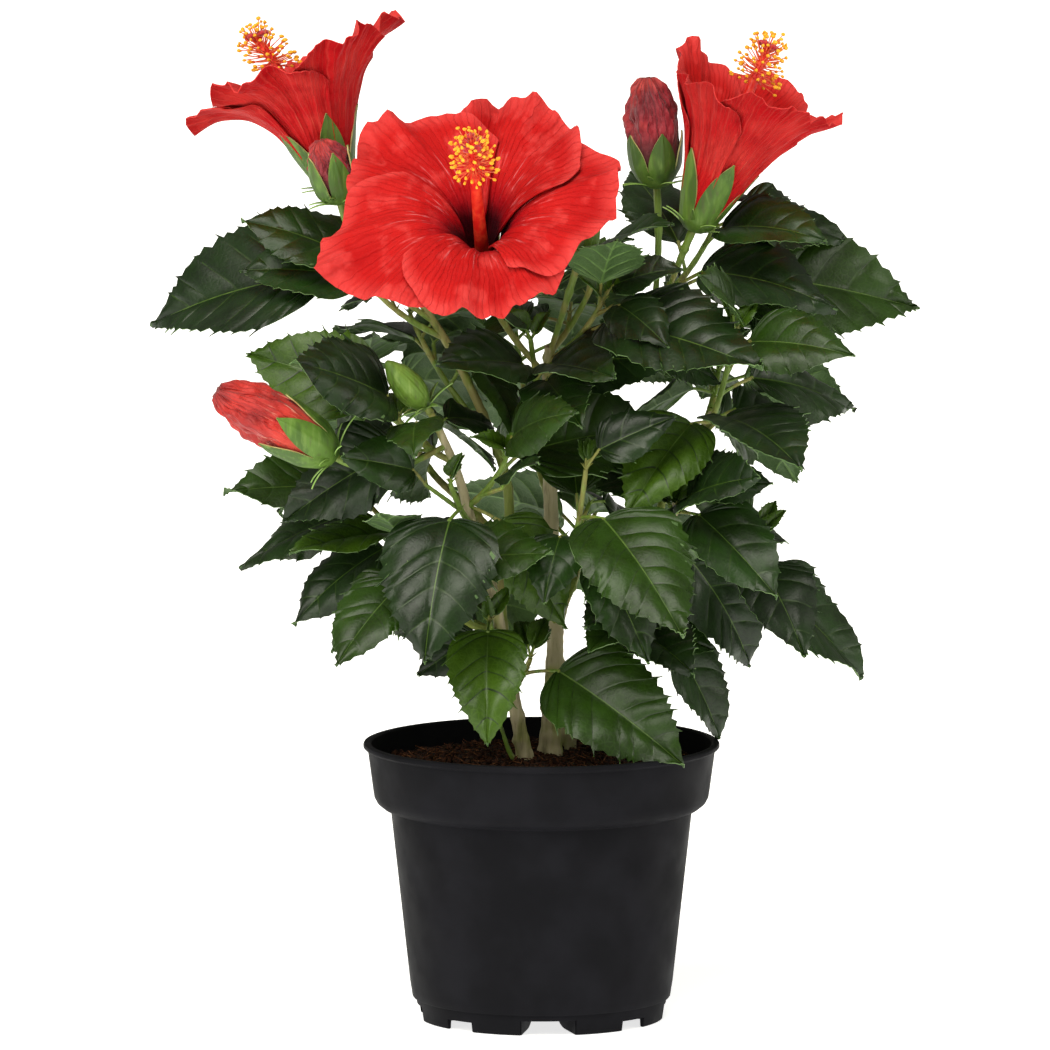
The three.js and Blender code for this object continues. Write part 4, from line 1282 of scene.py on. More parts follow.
class Leaf:
    """One leaf on its twig."""

    def __init__(
        self, node: Array, growth: Growth, facing: Pair, twig_foot: Array | None = None
    ) -> None:
        """Sets the leaf out.

        Args:
            node: Where its petiole leaves its twig.
            growth: How it has grown.
            facing: The heading and rise that its upper face turns to.
            twig_foot: Where a finer twig of its own starts, if it has one.
        """
        self.node, self.growth, self.twig_foot = node, growth, twig_foot
        lift = min(65, growth.rise + FORM.petiole_lift)
        self.base = node + towards(growth.heading, lift) * growth.blade * FORM.petiole
        self.along = towards(growth.heading, growth.rise)
        face = towards(*facing)
        face = unit(face - self.along * np.dot(face, self.along))
        self.face = turned_about(face, self.along, math.radians(growth.roll))
        self.side = np.cross(self.along, self.face)

    def midrib(self, a: Amount) -> Array:
        """Returns the points of the midrib at shares from base to tip."""
        g = self.growth
        a = np.asarray(a, float)[..., None]
        forward = self.along * (g.blade * np.sin(g.bend * a) / g.bend)
        return self.base + forward - self.face * (g.blade * (1 - np.cos(g.bend * a)) / g.bend)

    def outline(self) -> Array:
        """Returns the blade as a plain grid of few points, from base to tip."""
        g = self.growth
        a = np.linspace(0.02, 1, 9)[:, None] * np.ones((1, 3))
        across = np.array([[-1.0, 0.0, 1.0]])
        out = FORM.half_width * g.width * leaf_shape(a) * across * g.blade
        fold = math.radians(g.fold)
        side = self.side * (out * math.cos(fold))[..., None]
        return self.midrib(a) + side + self.lifted(a) * (np.abs(out) * math.sin(fold))[..., None]

    def lifted(self, a: Array) -> Array:
        """Returns the directions square to the blade at shares along its midrib."""
        bend = self.growth.bend * a[..., None]
        return self.along * np.sin(bend) + self.face * np.cos(bend)

    def grid(self, rng: Generator) -> tuple[Array, Array, tuple[Array, Array]]:
        """Returns the blade's upper surface.

        Args:
            rng: Draws the waves of the edge.

        Returns:
            The points, rows by columns, the thickness at each, and masks of the faces on the midrib and on
            the side veins.
        """
        g = self.growth
        rows = LeafRows.of(int(round(lerp(4, 7, float(smooth(g.blade, 20, 74))))), rng)
        columns = np.array([0.0, *FORM.columns])
        across = np.concatenate([-columns[:0:-1], [-0.001], [0.0], [0.001], columns[1:]])
        s = np.abs(across)[None, :]
        sign = np.sign(across)[None, :]
        near = rows.offset[:, None] * (1 - 0.55 * s)
        stagger = 0.016 * sign * smooth(s, 0.1, 0.6) * np.sin(np.pi * rows.centre)[:, None]
        e = np.clip(rows.centre[:, None] + near + stagger, 0.0, 1.0)
        half = FORM.half_width * g.width * leaf_shape(e)
        foot = np.maximum(0.04 * e, e - FORM.lag * half)
        a = foot + (e - foot) * s**1.2
        half = np.maximum(half, 0.004)
        rib = np.minimum(0.3 * half, FORM.rib * (1 - 0.75 * e))
        out = np.where(s > 0.01, half * s, np.where(s > 0, rib, 0.0))
        out = np.maximum(out, np.where(s > 0, rib, 0.0))
        phase = rows.phase[:, None]
        saw = np.interp(phase, [0, FORM.vein, 0.3, 0.55, 0.8, 1], [1, 0.2, -0.6, 0.3, -0.35, 1])
        size = np.interp(rows.centre, np.linspace(0, 1, 24), rng.uniform(0.2, 1.7, 24))[:, None]
        fade = rows.toothed[:, None] * (1 - 0.75 * rows.centre[:, None]) * size * s**4
        out = out + FORM.tooth * saw * fade
        a = np.clip(a + 0.9 * FORM.tooth * np.maximum(saw, 0) * fade, 0, 1)
        quilt = FORM.quilt * np.sin(np.pi * phase) ** 0.7 * np.sin(np.pi * np.minimum(s, 1) ** 0.85)
        quilt = quilt * (1 + 0.35 * np.sin(9 * s + 7 * rows.centre[:, None] + rng.uniform(0, 6)))
        quilt = quilt * (e < 0.995) - 0.0025 * np.exp(-((s / 0.1) ** 2)) * (s > 0)
        start = rng.uniform(0, 6, 2)
        turns = np.where(sign > 0, start[0], start[1])
        wave = FORM.wave * rng.uniform(0.5, 1.5) * s**2 * np.sin(2 * np.pi * 1.4 * a + turns)
        wave = wave * smooth(a, 0.05, 0.3)
        curl = -0.09 * s**3 * smooth(a, 0.1, 0.5) * rng.uniform(-0.2, 1.4)
        fold = math.radians(g.fold)
        raised = out * math.sin(fold) * (1.4 - 0.4 * s) + quilt + wave + curl * half / FORM.half_width
        grid = self.midrib(a)
        grid = grid + self.side * (sign * out * math.cos(fold) * g.blade)[..., None]
        grid = grid + self.lifted(a) * (raised * g.blade)[..., None]
        ridge = 0.012 * g.blade * np.exp(-((s / 0.03) ** 2)) * (1 - 0.8 * e)
        thick = FORM.thickness * np.ones_like(a) + ridge
        vein = np.append(rows.is_vein, False)[:, None]
        thick = thick + 0.18 * vein * (1 - 0.7 * s)
        middle = (np.abs(across[:-1] + across[1:]) < 0.01)[None, :]
        reach = (np.maximum(np.abs(across[:-1]), np.abs(across[1:])) < 0.95)[None, :]
        middle = middle & np.ones((len(rows.is_vein), 1), bool)
        return grid, thick, (middle, rows.is_vein[:, None] & reach & ~middle)

    def add_blade(self, draft: MeshDraft, top: Finish, rng: Generator) -> None:
        """Adds the blade to a draft, with its upper face in a finish."""
        grid, thick, (middle, veins) = self.grid(rng)
        grid, thick, middle, veins = grid[:, ::-1], thick[:, ::-1], middle[:, ::-1], veins[:, ::-1]
        ribs = ((middle, LEAF_RIB, LEAF_UNDER_RIB), (veins, LEAF_VEIN, LEAF_UNDER_RIB))
        draft.add_sheet(grid, thick, top, LEAF_UNDER, LEAF_EDGE, ribs=ribs)

    def add_petiole(self, draft: MeshDraft) -> None:
        """Adds the leaf's stalk, swollen a little at both ends, and its two stipules."""
        reach = self.base - self.node
        knee = self.node + reach * 0.5 + UP * 0.06 * np.linalg.norm(reach)
        steps = 10
        share = np.linspace(0, 1, steps + 1)
        end = self.base + self.along * 0.8
        path = walk(Bezier((self.node, knee, end)), steps)
        swelling = 0.35 * np.exp(-((share / 0.12) ** 2)) + 0.2 * np.exp(-(((1 - share) / 0.1) ** 2))
        radius = FORM.petiole_radius * (0.85 + swelling)
        scale = lerp(0.7, 1.0, float(smooth(self.growth.blade, 15, 60)))
        draft.add_tube(path, radius * scale, TWIG_BARK, 8)
        for side in (-1, 1):
            length = lerp(2.5, 5, self.growth.width - 0.5)
            tip = self.node + towards(self.growth.heading + side * 50, 40) * length
            thread = walk(Bezier((self.node, lerp(self.node, tip, 0.5) + UP * 0.5, tip)), 4)
            draft.add_tube(thread, np.linspace(0.42, 0.06, 5), TWIG_BARK, 4)


@dataclass(frozen=True)
class Shoot:
    """A leafy shoot: a twig from a limb to its tip, and the leaves on it.

    set_leaves gives the leaves of the open side by their share of the way along the twig, heading, rise and
    blade length. count more follow the spiral, which starts at turn.
    """

    name: str
    seed: int
    limb: str
    at: float
    tip: Place
    facing: Pair
    set_leaves: tuple[tuple[float, float, float, float], ...] = ()
    count: int = 0
    turn: float = 0.0
    blade: Pair = (0.0, 0.0)

    def curve(self) -> Bezier:
        """Returns the twig's line, which sets out level and turns up to its tip."""
        start, tip = LIMBS[self.limb].curve().at(self.at), vec(*self.tip)
        knee = vec(lerp(start[0], tip[0], 0.6), lerp(start[1], tip[1], 0.6), lerp(start[2], tip[2], 0.35))
        return Bezier((start, knee, tip))

    def wanted(self) -> list[Growth]:
        """Returns the leaves that the rule asks for, before any is turned aside or left out."""
        draws = Draws(self.seed)
        asked = []

        def grown(t: float, heading: float, rise: float, blade: float) -> Growth:
            """Returns a leaf's growth, with what varies from leaf to leaf drawn."""
            roll, bend = draws.between(-14, 14), draws.between(*FORM.bend)
            fold, width = draws.between(*FORM.fold), draws.between(0.92, 1.08)
            return Growth(t, heading, rise, blade, roll, bend, fold, width)

        for row in self.set_leaves:
            asked.append(grown(*row))
        for i in range(self.count):
            share = i / (self.count - 1) if self.count > 1 else 1.0
            heading = self.turn + PHYLLOTAXIS * i + draws.between(-12, 12)
            rise = lerp(-28, 30, share) + draws.between(-8, 8)
            blade = lerp(self.blade[0], self.blade[1], share) * draws.between(0.9, 1.1)
            asked.append(grown(lerp(0.2, 1, share), heading, rise, blade))
        return asked

    def leaves(self) -> list[Leaf]:
        """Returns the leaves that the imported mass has, turned aside as they are there.

        A leaf is there if the mass has a corner where the leaf's tip comes.
        """
        mesh = frame["nodes"][self.name].data
        corners = np.empty(len(mesh.vertices) * 3, np.float32)
        mesh.vertices.foreach_get("co", corners)
        corners = corners.reshape(-1, 3) / MM
        curve = self.curve()
        found = []
        for growth in self.wanted():
            for step in SIDESTEPS:
                turned = replace(growth, heading=growth.heading + step)
                leaf = Leaf(curve.at(growth.t), turned, self.facing)
                if np.min(np.linalg.norm(corners - leaf.midrib(1.0), axis=1)) < TIP_MATCH:
                    found.append(leaf)
                    break
        return found

    def axils(self) -> list[Leaf]:
        """Returns the leaves of the shoot's own finer twigs, before any is left out for want of room."""
        draws = Draws(self.seed + 500)
        curve = self.curve()
        found = []
        for i in range(AXIL_LEAVES):
            start = curve.at(lerp(0.3, 1.0, i / (AXIL_LEAVES - 1)))
            heading = self.turn + 60 + PHYLLOTAXIS * i + draws.between(-20, 20)
            node = start + towards(heading, draws.between(15, 60)) * draws.between(6, 20)
            ranges = ((-30, 30), (-30, 25), (24, 44), (-20, 20), (0.3, 0.9), (4, 20), (0.9, 1.1))
            aside, *rest = (draws.between(*ends) for ends in ranges)
            growth = Growth(1.0, heading + aside, *rest)
            found.append(Leaf(node, growth, self.facing, start))
        return found

    def young_leaves(self) -> list[Leaf]:
        """Returns the small young leaves at the shoot's tip."""
        draws = Draws(self.seed + 1000)
        curve = self.curve()
        found = []
        for i in range(YOUNG_LEAVES):
            heading = draws.between(0, 360) + 140 * i
            growth = Growth(1.0, heading, draws.between(30, 65), draws.between(9, 17), 0.0, 0.9, 38.0, 0.85)
            found.append(Leaf(curve.at(1.0), growth, self.facing))
        return found


SHOOTS = (
    Shoot(
        "leaves_left_top", 11, "bough_middle", 0.86, (-62, 4, 268), (250, 45),
        ((0.85, 168, -7, 76), (1.0, 183, 29, 44), (0.77, 169, 13, 45)), 3, 330, (50, 36),
    ),
    Shoot(
        "leaves_left_middle", 12, "stem_left", 0.86, (-52, -22, 222), (255, 38),
        ((0.91, 233, 24, 52), (1.0, 165, 17, 51), (0.02, 291, 3, 49), (0.3, 215, -25, 50)), 2, 60, (46, 36),
    ),
    Shoot("leaves_left_front", 32, "stem_left", 0.66, (-33, -30, 200), (255, 38), ((0.5, 228, -36, 60),)),
    Shoot(
        "leaves_left_side", 27, "stem_left", 0.47, (-62, 12, 186), (240, 50),
        ((1.0, 217, 7, 47), (0.88, 183, -17, 46), (0.6, 200, -26, 44)), 3, 40, (48, 36),
    ),
    Shoot(
        "leaves_left_low", 13, "bough_left_low", 1.0, (-50, -24, 174), (250, 40),
        ((0.3, 233, -24, 46), (0.2, 292, 14, 48), (0.25, 258, -23, 38)), 2, 120, (38, 30),
    ),
    Shoot(
        "leaves_foot", 14, "stem_left", 0.2, (-4, -14, 134), (270, 30), ((0.59, 319, -21, 62),),
        1, 190, (30, 28),
    ),
    Shoot(
        "leaves_low_front", 31, "stem_left", 0.33, (-19, -20, 148), (270, 30),
        ((1.0, 268, -37, 47), (0.5, 189, -29, 26)),
    ),
    Shoot(
        "leaves_centre", 28, "stem_left", 0.72, (-13, -26, 208), (270, 40),
        ((0.44, 15, 17, 63), (0.02, 0, -52, 47)), 1, 240, (40, 36),
    ),
    Shoot(
        "leaves_front", 15, "bough_front", 1.0, (16, -36, 206), (275, 36),
        ((0.61, 300, -24, 64), (0.57, 139, 48, 38), (0.35, 318, -48, 44)), 2, 200, (46, 34),
    ),
    Shoot(
        "leaves_front_top", 16, "stem_middle", 0.8, (-4, -14, 250), (270, 45),
        ((0.48, 232, 13, 46), (0.57, 302, 5, 41)), 4, 120, (44, 32),
    ),
    Shoot(
        "leaves_right_inner", 29, "stem_middle", 0.95, (22, -12, 264), (280, 42),
        ((0.39, 320, -2, 70), (0.92, 280, 41, 41), (0.6, 22, -24, 50), (0.99, 100, 50, 44)), 2, 200, (40, 30),
    ),
    Shoot(
        "leaves_right_top", 17, "bough_right_top", 0.88, (64, 22, 290), (285, 42),
        ((0.06, 10, -6, 80), (0.14, 335, 2, 54), (0.7, 318, 12, 46), (0.92, 27, -7, 42), (1.0, 50, 7, 39),
         (0.4, 122, 47, 44)), 2, 90, (48, 36),
    ),
    Shoot(
        "leaves_right_middle", 18, "stem_right", 0.94, (70, -10, 252), (285, 42),
        ((0.5, 30, -7, 52), (0.81, 320, 7, 44), (0.07, 300, 0, 55), (0.2, 40, -10, 44), (0.2, 195, -25, 48)),
        2, 80, (48, 36),
    ),
    Shoot(
        "leaves_right_front", 20, "stem_right", 0.62, (48, -18, 188), (280, 38),
        ((0.73, 297, 25, 51), (1.0, 315, -28, 46), (0.45, 21, -50, 48)), 2, 60, (44, 36),
    ),
    Shoot(
        "leaves_right_low", 19, "bough_right_low", 1.0, (78, 4, 174), (285, 45),
        ((0.02, 15, -34, 56), (0.3, 60, -20, 38), (0.6, 300, -30, 42)), 4, 150, (38, 32),
    ),
    Shoot(
        "leaves_right_foot", 30, "stem_right", 0.3, (40, 2, 142), (280, 45),
        ((0.41, 306, 6, 49), (0.92, 345, -55, 40), (1.0, 287, 11, 42)), 1, 120, (40, 36),
    ),
    Shoot("leaves_crown", 25, "stem_middle", 0.98, (22, 16, 276), (270, 80), (), 6, 0, (50, 32)),
    Shoot("leaves_back", 21, "bough_back", 1.0, (-10, 66, 250), (90, 45), (), 7, 90, (60, 34)),
    Shoot("leaves_back_left", 22, "bough_back_left", 1.0, (-64, 50, 226), (120, 45), (), 7, 140, (58, 34)),
    Shoot("leaves_back_right", 23, "bough_back_right", 1.0, (66, 62, 236), (75, 45), (), 7, 60, (46, 32)),
    Shoot("leaves_back_low", 24, "bough_back_low", 1.0, (16, 70, 172), (90, 42), (), 6, 80, (56, 36)),
    Shoot("leaves_left_back_top", 26, "bough_middle", 0.6, (-48, 36, 254), (130, 50), (), 6, 110, (50, 32)),
)


class Side(Enum):
    """The parts of the crown that the foliage is joined into, by the start of their shoots' names."""

    LEFT = ("foliage_left", ("leaves_left", "leaves_low"))
    MIDDLE = ("foliage_middle", ("leaves_foot", "leaves_centre", "leaves_front", "leaves_crown"))
    RIGHT = ("foliage_right", ("leaves_right",))
    BACK = ("foliage_back", ("leaves_back",))


class Room:
    """What already stands in the crown, so that a finer leaf can be left out where it would cross it."""

    def __init__(self) -> None:
        """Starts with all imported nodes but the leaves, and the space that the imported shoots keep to."""
        self.standing: list[tuple[Array, Array, BVHTree]] = []
        self.spaces = [tuple(np.array(c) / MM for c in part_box(shoot.name)) for shoot in SHOOTS]
        for name, node in frame["nodes"].items():
            if not name.startswith("leaves"):
                points = np.array([v.co for v in node.data.vertices]) / MM
                self.take(points, [tuple(p.vertices) for p in node.data.polygons])

    def take(self, points: Array, faces: Sequence[tuple[int, ...]]) -> None:
        """Adds a surface to what stands."""
        tree = BVHTree.FromPolygons(points.tolist(), faces)
        self.standing.append((points.min(0), points.max(0), tree))

    @staticmethod
    def surface(leaf: Leaf) -> tuple[Array, list[tuple[int, ...]]]:
        """Returns a plain surface for a leaf's blade."""
        grid = leaf.outline()
        return grid.reshape(-1, 3), [tuple(q) for q in cells(*grid.shape[:2]).tolist()]

    def fits(self, leaf: Leaf) -> bool:
        """Returns whether a leaf keeps to the crown's space and crosses nothing."""
        points, faces = self.surface(leaf)
        low, high = points.min(0), points.max(0)
        if not any((low > a - 1).all() and (high < b + 1).all() for a, b in self.spaces):
            return False
        tree = BVHTree.FromPolygons(points.tolist(), faces)
        near = [t for a, b, t in self.standing if (low <= b).all() and (high >= a).all()]
        if any(tree.overlap(t) for t in near):
            return False
        self.standing.append((low, high, tree))
        return True


TOP_SHARES = (0.3, 0.34, 0.24, 0.12)  # how common each of LEAF_TOPS is


class Foliage:
    """The leafy shoots, with the twigs, petioles and stalks of the whole plant joined in one piece."""

    def __init__(self) -> None:
        """Starts the piece that all twigs are joined in."""
        self.twigs = MeshDraft()

    def add_twig(self, curve: Bezier, radius: Pair, joint: float = 0.0) -> None:
        """Adds a twig or flower stalk, with a swollen ring at a share of the way where it has a joint."""
        steps = 28
        share = np.linspace(0, 1, steps + 1)
        radii = lerp(radius[0], radius[1], share)
        if joint:
            radii = radii * (1 + 0.28 * np.exp(-(((share - joint) / 0.025) ** 2)))
        radii = radii * (1 + 0.05 * np.sin(37 * share))
        self.twigs.add_tube(walk(curve, steps), radii, TWIG_BARK, 10)

    def build(self) -> None:
        """Makes the foliage, side by side."""
        room = Room()
        sucker = Bezier((vec(-8, -5, 94), vec(-13, -8, 97), vec(-13, -8, 106), vec(-17, -8, 113)))
        self.add_twig(sucker, (1.1, 0.5))
        grown = {shoot.name: shoot.leaves() for shoot in SHOOTS}
        for leaves in grown.values():
            for leaf in leaves:
                room.take(*room.surface(leaf))
        finer = {shoot.name: [leaf for leaf in shoot.axils() if room.fits(leaf)] for shoot in SHOOTS}
        for side in Side:
            name, starts = side.value
            chosen = [shoot for shoot in SHOOTS if shoot.name.startswith(starts)]
            draft = MeshDraft()
            for shoot in chosen:
                self.add_twig(shoot.curve(), (1.3, 0.9))
                rng = np.random.default_rng(shoot.seed)
                tops = [LEAF_TOPS[int(i)] for i in rng.choice(4, 24, p=TOP_SHARES)]
                for leaf, top in zip(grown[shoot.name] + finer[shoot.name], tops):
                    leaf.add_blade(draft, top, rng)
                    leaf.add_petiole(self.twigs)
                for leaf in finer[shoot.name]:
                    self.add_twig(Bezier((leaf.twig_foot, leaf.node)), (0.9, 0.75))
                for leaf in shoot.young_leaves():
                    leaf.add_blade(draft, LEAF_TOPS[3], rng)
                    leaf.add_petiole(self.twigs)
            draft.piece(name, "leaf", [shoot.name for shoot in chosen], sharp=60)
        counts = [sum(len(leaves) for leaves in group.values()) for group in (grown, finer)]
        log.info("%d leaves stand where their solids do, and %d finer ones between them", *counts)


# ---- blooms and buds ----


@dataclass(frozen=True)
class Flower:
    """What a bloom and a bud share: the stalk's limb and where on it, the foot, and which way it looks."""

    name: str
    limb: str
    at: float
    base: Place
    heading: float
    rise: float

    def axis(self) -> Array:
        """Returns the direction the flower looks in."""
        return towards(self.heading, self.rise)

    def pedicel(self) -> Bezier:
        """Returns the line of its stalk."""
        start, foot = LIMBS[self.limb].curve().at(self.at), vec(*self.base)
        knee = foot - self.axis() * 0.45 * np.linalg.norm(start - foot)
        return Bezier((start, lerp(start, knee, 0.5), knee, foot + self.axis()))

    def placed(self, points: Array, roll: float = 0.0) -> Array:
        """Returns points or a grid of them, made about +Z, set on the flower's foot."""
        turn = Vector((0, 0, 1)).rotation_difference(Vector(self.axis())).to_matrix()
        turned = points.reshape(-1, 3) @ (np.array(turn) @ spin(math.radians(roll)).T).T
        return turned.reshape(points.shape) + vec(*self.base)


@dataclass(frozen=True)
class CalyxForm:
    """The calyx's measures at full size."""

    lobes: int = 5
    length: float = 27.0
    base: float = 4.6
    cup: float = 7.4
    tip: float = 14.5
    fused: float = 0.36  # share of the length up to which the lobes are one cup
    thickness: float = 0.5

    def rows(self) -> Array:
        """Returns the shares of the length that its rows stand at."""
        return np.linspace(0, 1, 29)


CALYX = CalyxForm()


@dataclass(frozen=True)
class Bracts:
    """The ring of narrow bracts under a calyx."""

    count: int = 7
    length: float = 12.0
    width: float = 2.0
    spread: float = 48.0  # degrees off the flower's axis
    curl: float = 30.0  # degrees further at the tip
    thickness: float = 0.4


def around(values: Sequence[float], angle: Array) -> Array:
    """Returns a value set for each petal, blended from petal to petal, at angles in degrees."""
    table = np.array(values, float)
    x = np.mod(angle * len(table) / 360, len(table))
    i = np.floor(x).astype(int)
    return lerp(table[i % len(table)], table[(i + 1) % len(table)], smooth(x - i, 0, 1))


@dataclass(frozen=True)
class CorollaForm:
    """The measures that all corollas share."""

    petals: int = 5
    root_span: float = 33.0
    span: float = 60.0
    taper: float = 0.3  # how much shorter a petal is at its sides
    lap: float = 1.7
    throat: float = 3.0
    nibble: float = 0.075  # how uneven a petal's edge is, as a share of its length
    lobe: float = 0.055
    thickness: Pair = (0.9, 0.4)  # at root and edge
    across: int = 58
    along: int = 46


COROLLA = CorollaForm()
GOLDEN_ANGLE = 137.5  # degrees


@dataclass(frozen=True)
class StamenForm:
    """The measures of a column with its brush. Radii are given from root to tip."""

    column: Pair = (2.8, 1.5)
    filaments: int = 96
    filament: Pair = (0.3, 0.17)
    brush: float = 11.0  # length of column that bears filaments
    reach: Pair = (6.6, 9.6)  # shortest and longest filament
    stigmas: int = 5
    style: Pair = (0.85, 0.6)


STAMENS = StamenForm()


def flare(
    share: Array, length: Array, tube: float, turning: Pair, opening: Array
) -> tuple[Array, Array, Array]:
    """Returns the radius, height and slope of the petals' middle surface.

    Args:
        share: How far along the petal, from 0 at its root.
        length: The petal's length.
        tube: The angle in degrees off the axis that it leaves its root at.
        turning: The shares of its length between which it turns outwards.
        opening: The angle in degrees off the axis that it turns to.

    Returns:
        The radius, the height and the slope in radians.
    """
    r, z = np.full_like(share, COROLLA.throat), np.zeros_like(share)
    steps = 16
    for i in range(steps):
        step = share * length / steps
        angle = np.radians(lerp(tube, opening, smooth((i + 0.5) * share / steps, *turning)))
        r = r + np.sin(angle) * step
        z = z + np.cos(angle) * step
    return r, z, angle


@dataclass(frozen=True)
class Bloom(Flower):
    """An open bloom: five lapped petals, the staminal column and the calyx."""

    roll: float = 0.0
    tube: float = 22.0
    turning: Pair = (0.3, 1.1)
    petal: tuple[float, ...] = ()
    opening: tuple[float, ...] = ()
    ruffle: float = 4.0
    column: float = 62.0
    calyx: float = 1.0  # size of its calyx, as a share of a full one
    droop: Place = (0.0, 0.0, 0.0)  # how far its column's tip has bent aside

    def petal_grid(self, k: int) -> tuple[Array, Array]:
        """Returns the middle surface of petal k and its map across and along."""
        along = np.linspace(0, 1, COROLLA.along + 1)[:, None]
        across = np.linspace(-1, 1, COROLLA.across + 1)[None, :]
        spread = lerp(COROLLA.root_span, COROLLA.span, smooth(along, 0.1, 0.45))
        turn = 360 / COROLLA.petals * k + across * spread
        length = around(self.petal, turn)
        rng = np.random.default_rng(int(self.heading * 10) + k)
        nibble = COROLLA.nibble * sum(np.sin(across * w + rng.uniform(0, 6)) / w for w in (5, 9, 16, 27, 45))
        lobe = COROLLA.lobe * np.exp(-np.abs((across - rng.uniform(-0.45, 0.45)) / 0.13) ** 1.5)
        share = along * (1 - COROLLA.taper * across**2 + (nibble + lobe) * along**4)
        r, z, angle = flare(share, length, self.tube, self.turning, around(self.opening, turn))
        bend = np.radians(turn)
        ruffle = self.ruffle * share**3 * np.sin(11 * bend)
        ruffle = ruffle + 0.5 * self.ruffle * share**5 * np.sin(24 * bend + 2 * np.sin(5 * bend) + self.roll)
        finest = np.sin(45 * bend + 3 * np.sin(7 * bend) + 2 * self.roll)
        ruffle = ruffle + 0.18 * self.ruffle * share**7 * finest
        crease = 0.5 * smooth(share, 0.15, 0.5) * np.sin(20 * bend + 2 * np.sin(3 * bend)) * (1 - 0.4 * share)
        crinkle = np.sin(30 * share + 3 * np.sin(9 * bend)) * np.sin(27 * bend)
        crinkle = 0.28 * smooth(share, 0.3, 0.8) * crinkle
        off = -COROLLA.lap * across * smooth(along, 0, 0.3) + ruffle + crease + crinkle
        r = r - np.cos(angle) * off
        return polar(r, bend, z + np.sin(angle) * off), span_of(across, along)

    def tube_skin(self, height: Array) -> Array:
        """Returns how far the petals reach from the axis, all round, at heights in millimetres."""
        turn, share = np.arange(0, 360, 6.0)[:, None], np.linspace(0, 1, 80)[None, :]
        length, opening = around(self.petal, turn), around(self.opening, turn)
        r, z, _ = flare(share, length * np.ones_like(share), self.tube, self.turning, opening)
        z = np.maximum.accumulate(z, axis=1)
        return np.max([np.interp(height, zs, rs) for zs, rs in zip(z, r)], axis=0) + 1.0

    def corolla(self) -> MeshDraft:
        """Returns the five petals."""
        draft = MeshDraft()
        for k in range(COROLLA.petals):
            grid, span = self.petal_grid(k)
            grid = self.placed(grid, self.roll)
            thick = lerp(*COROLLA.thickness, span[..., 1])
            centre = vec(*self.base) + self.axis() * 60
            middle = COROLLA.along // 3, COROLLA.across // 2
            if np.dot(normals_of(grid)[middle], centre - grid[middle]) < 0:
                grid, span, thick = grid[:, ::-1], span[:, ::-1], thick[:, ::-1]
            draft.add_sheet(grid, thick, PETAL_INSIDE, PETAL_OUTSIDE, PETAL_INSIDE, span)
        return draft

    def stamens(self) -> MeshDraft:
        """Returns the column, its brush of filaments with pollen sacs, and the five stigmas."""
        draft = MeshDraft()
        length = self.column

        def placed(points: Array) -> Array:
            """Returns points set on the flower and bent aside with its column."""
            return self.placed(points) + np.clip(points[:, 2:] / length, 0, 1) ** 2 * vec(*self.droop)

        share = np.linspace(0, 1, 25)
        path = np.stack([np.zeros(25), np.zeros(25), lerp(2, length, share)], -1)
        draft.add_tube(placed(path), lerp(*STAMENS.column, share), COLUMN_TISSUE, 14)
        rng = np.random.default_rng(int(self.heading))
        ball, faces = unit_ball(6, 8)
        count = STAMENS.filaments
        for i in range(count):
            height = length - STAMENS.brush * (1 - (i + 0.5) / count)
            turn, rise = GOLDEN_ANGLE * i, lerp(-12, 62, i / count) + rng.uniform(-12, 12)
            reach = rng.uniform(*STAMENS.reach)
            root = vec(0, 0, height)
            tip = root + towards(turn, rise) * reach
            knee = lerp(root, tip, 0.5) - vec(0, 0, rng.uniform(0.0, 1.6))
            thread = placed(walk(Bezier((root, knee, tip)), 6))
            draft.add_tube(thread, np.linspace(*STAMENS.filament, 7), FILAMENT, 5)
            size = rng.uniform(0.55, 0.85)
            sac = (ball * vec(1.3, 0.85, 0.9) - 0.35 * np.abs(ball[:, 1:2]) * UP) * size
            draft.add(placed(sac @ spin(turn) + tip), faces, POLLEN)
        ball, faces = unit_ball(8, 10)
        for i in range(STAMENS.stigmas):
            root = vec(0, 0, length - 0.5)
            tip = root + towards(360 / STAMENS.stigmas * i + 20, 42) * rng.uniform(3.6, 4.8)
            knee = root + vec(0, 0, 2.0)
            style = placed(walk(Bezier((root, knee, tip)), 8))
            draft.add_tube(style, np.linspace(*STAMENS.style, 9), COLUMN_TISSUE, 7)
            fuzz = 1 + 0.1 * np.sin(9 * ball[:, :1] + 7 * ball[:, 1:2])
            draft.add(placed(ball * fuzz * vec(1.6, 1.6, 1.1) + tip), faces, STIGMA)
        return draft


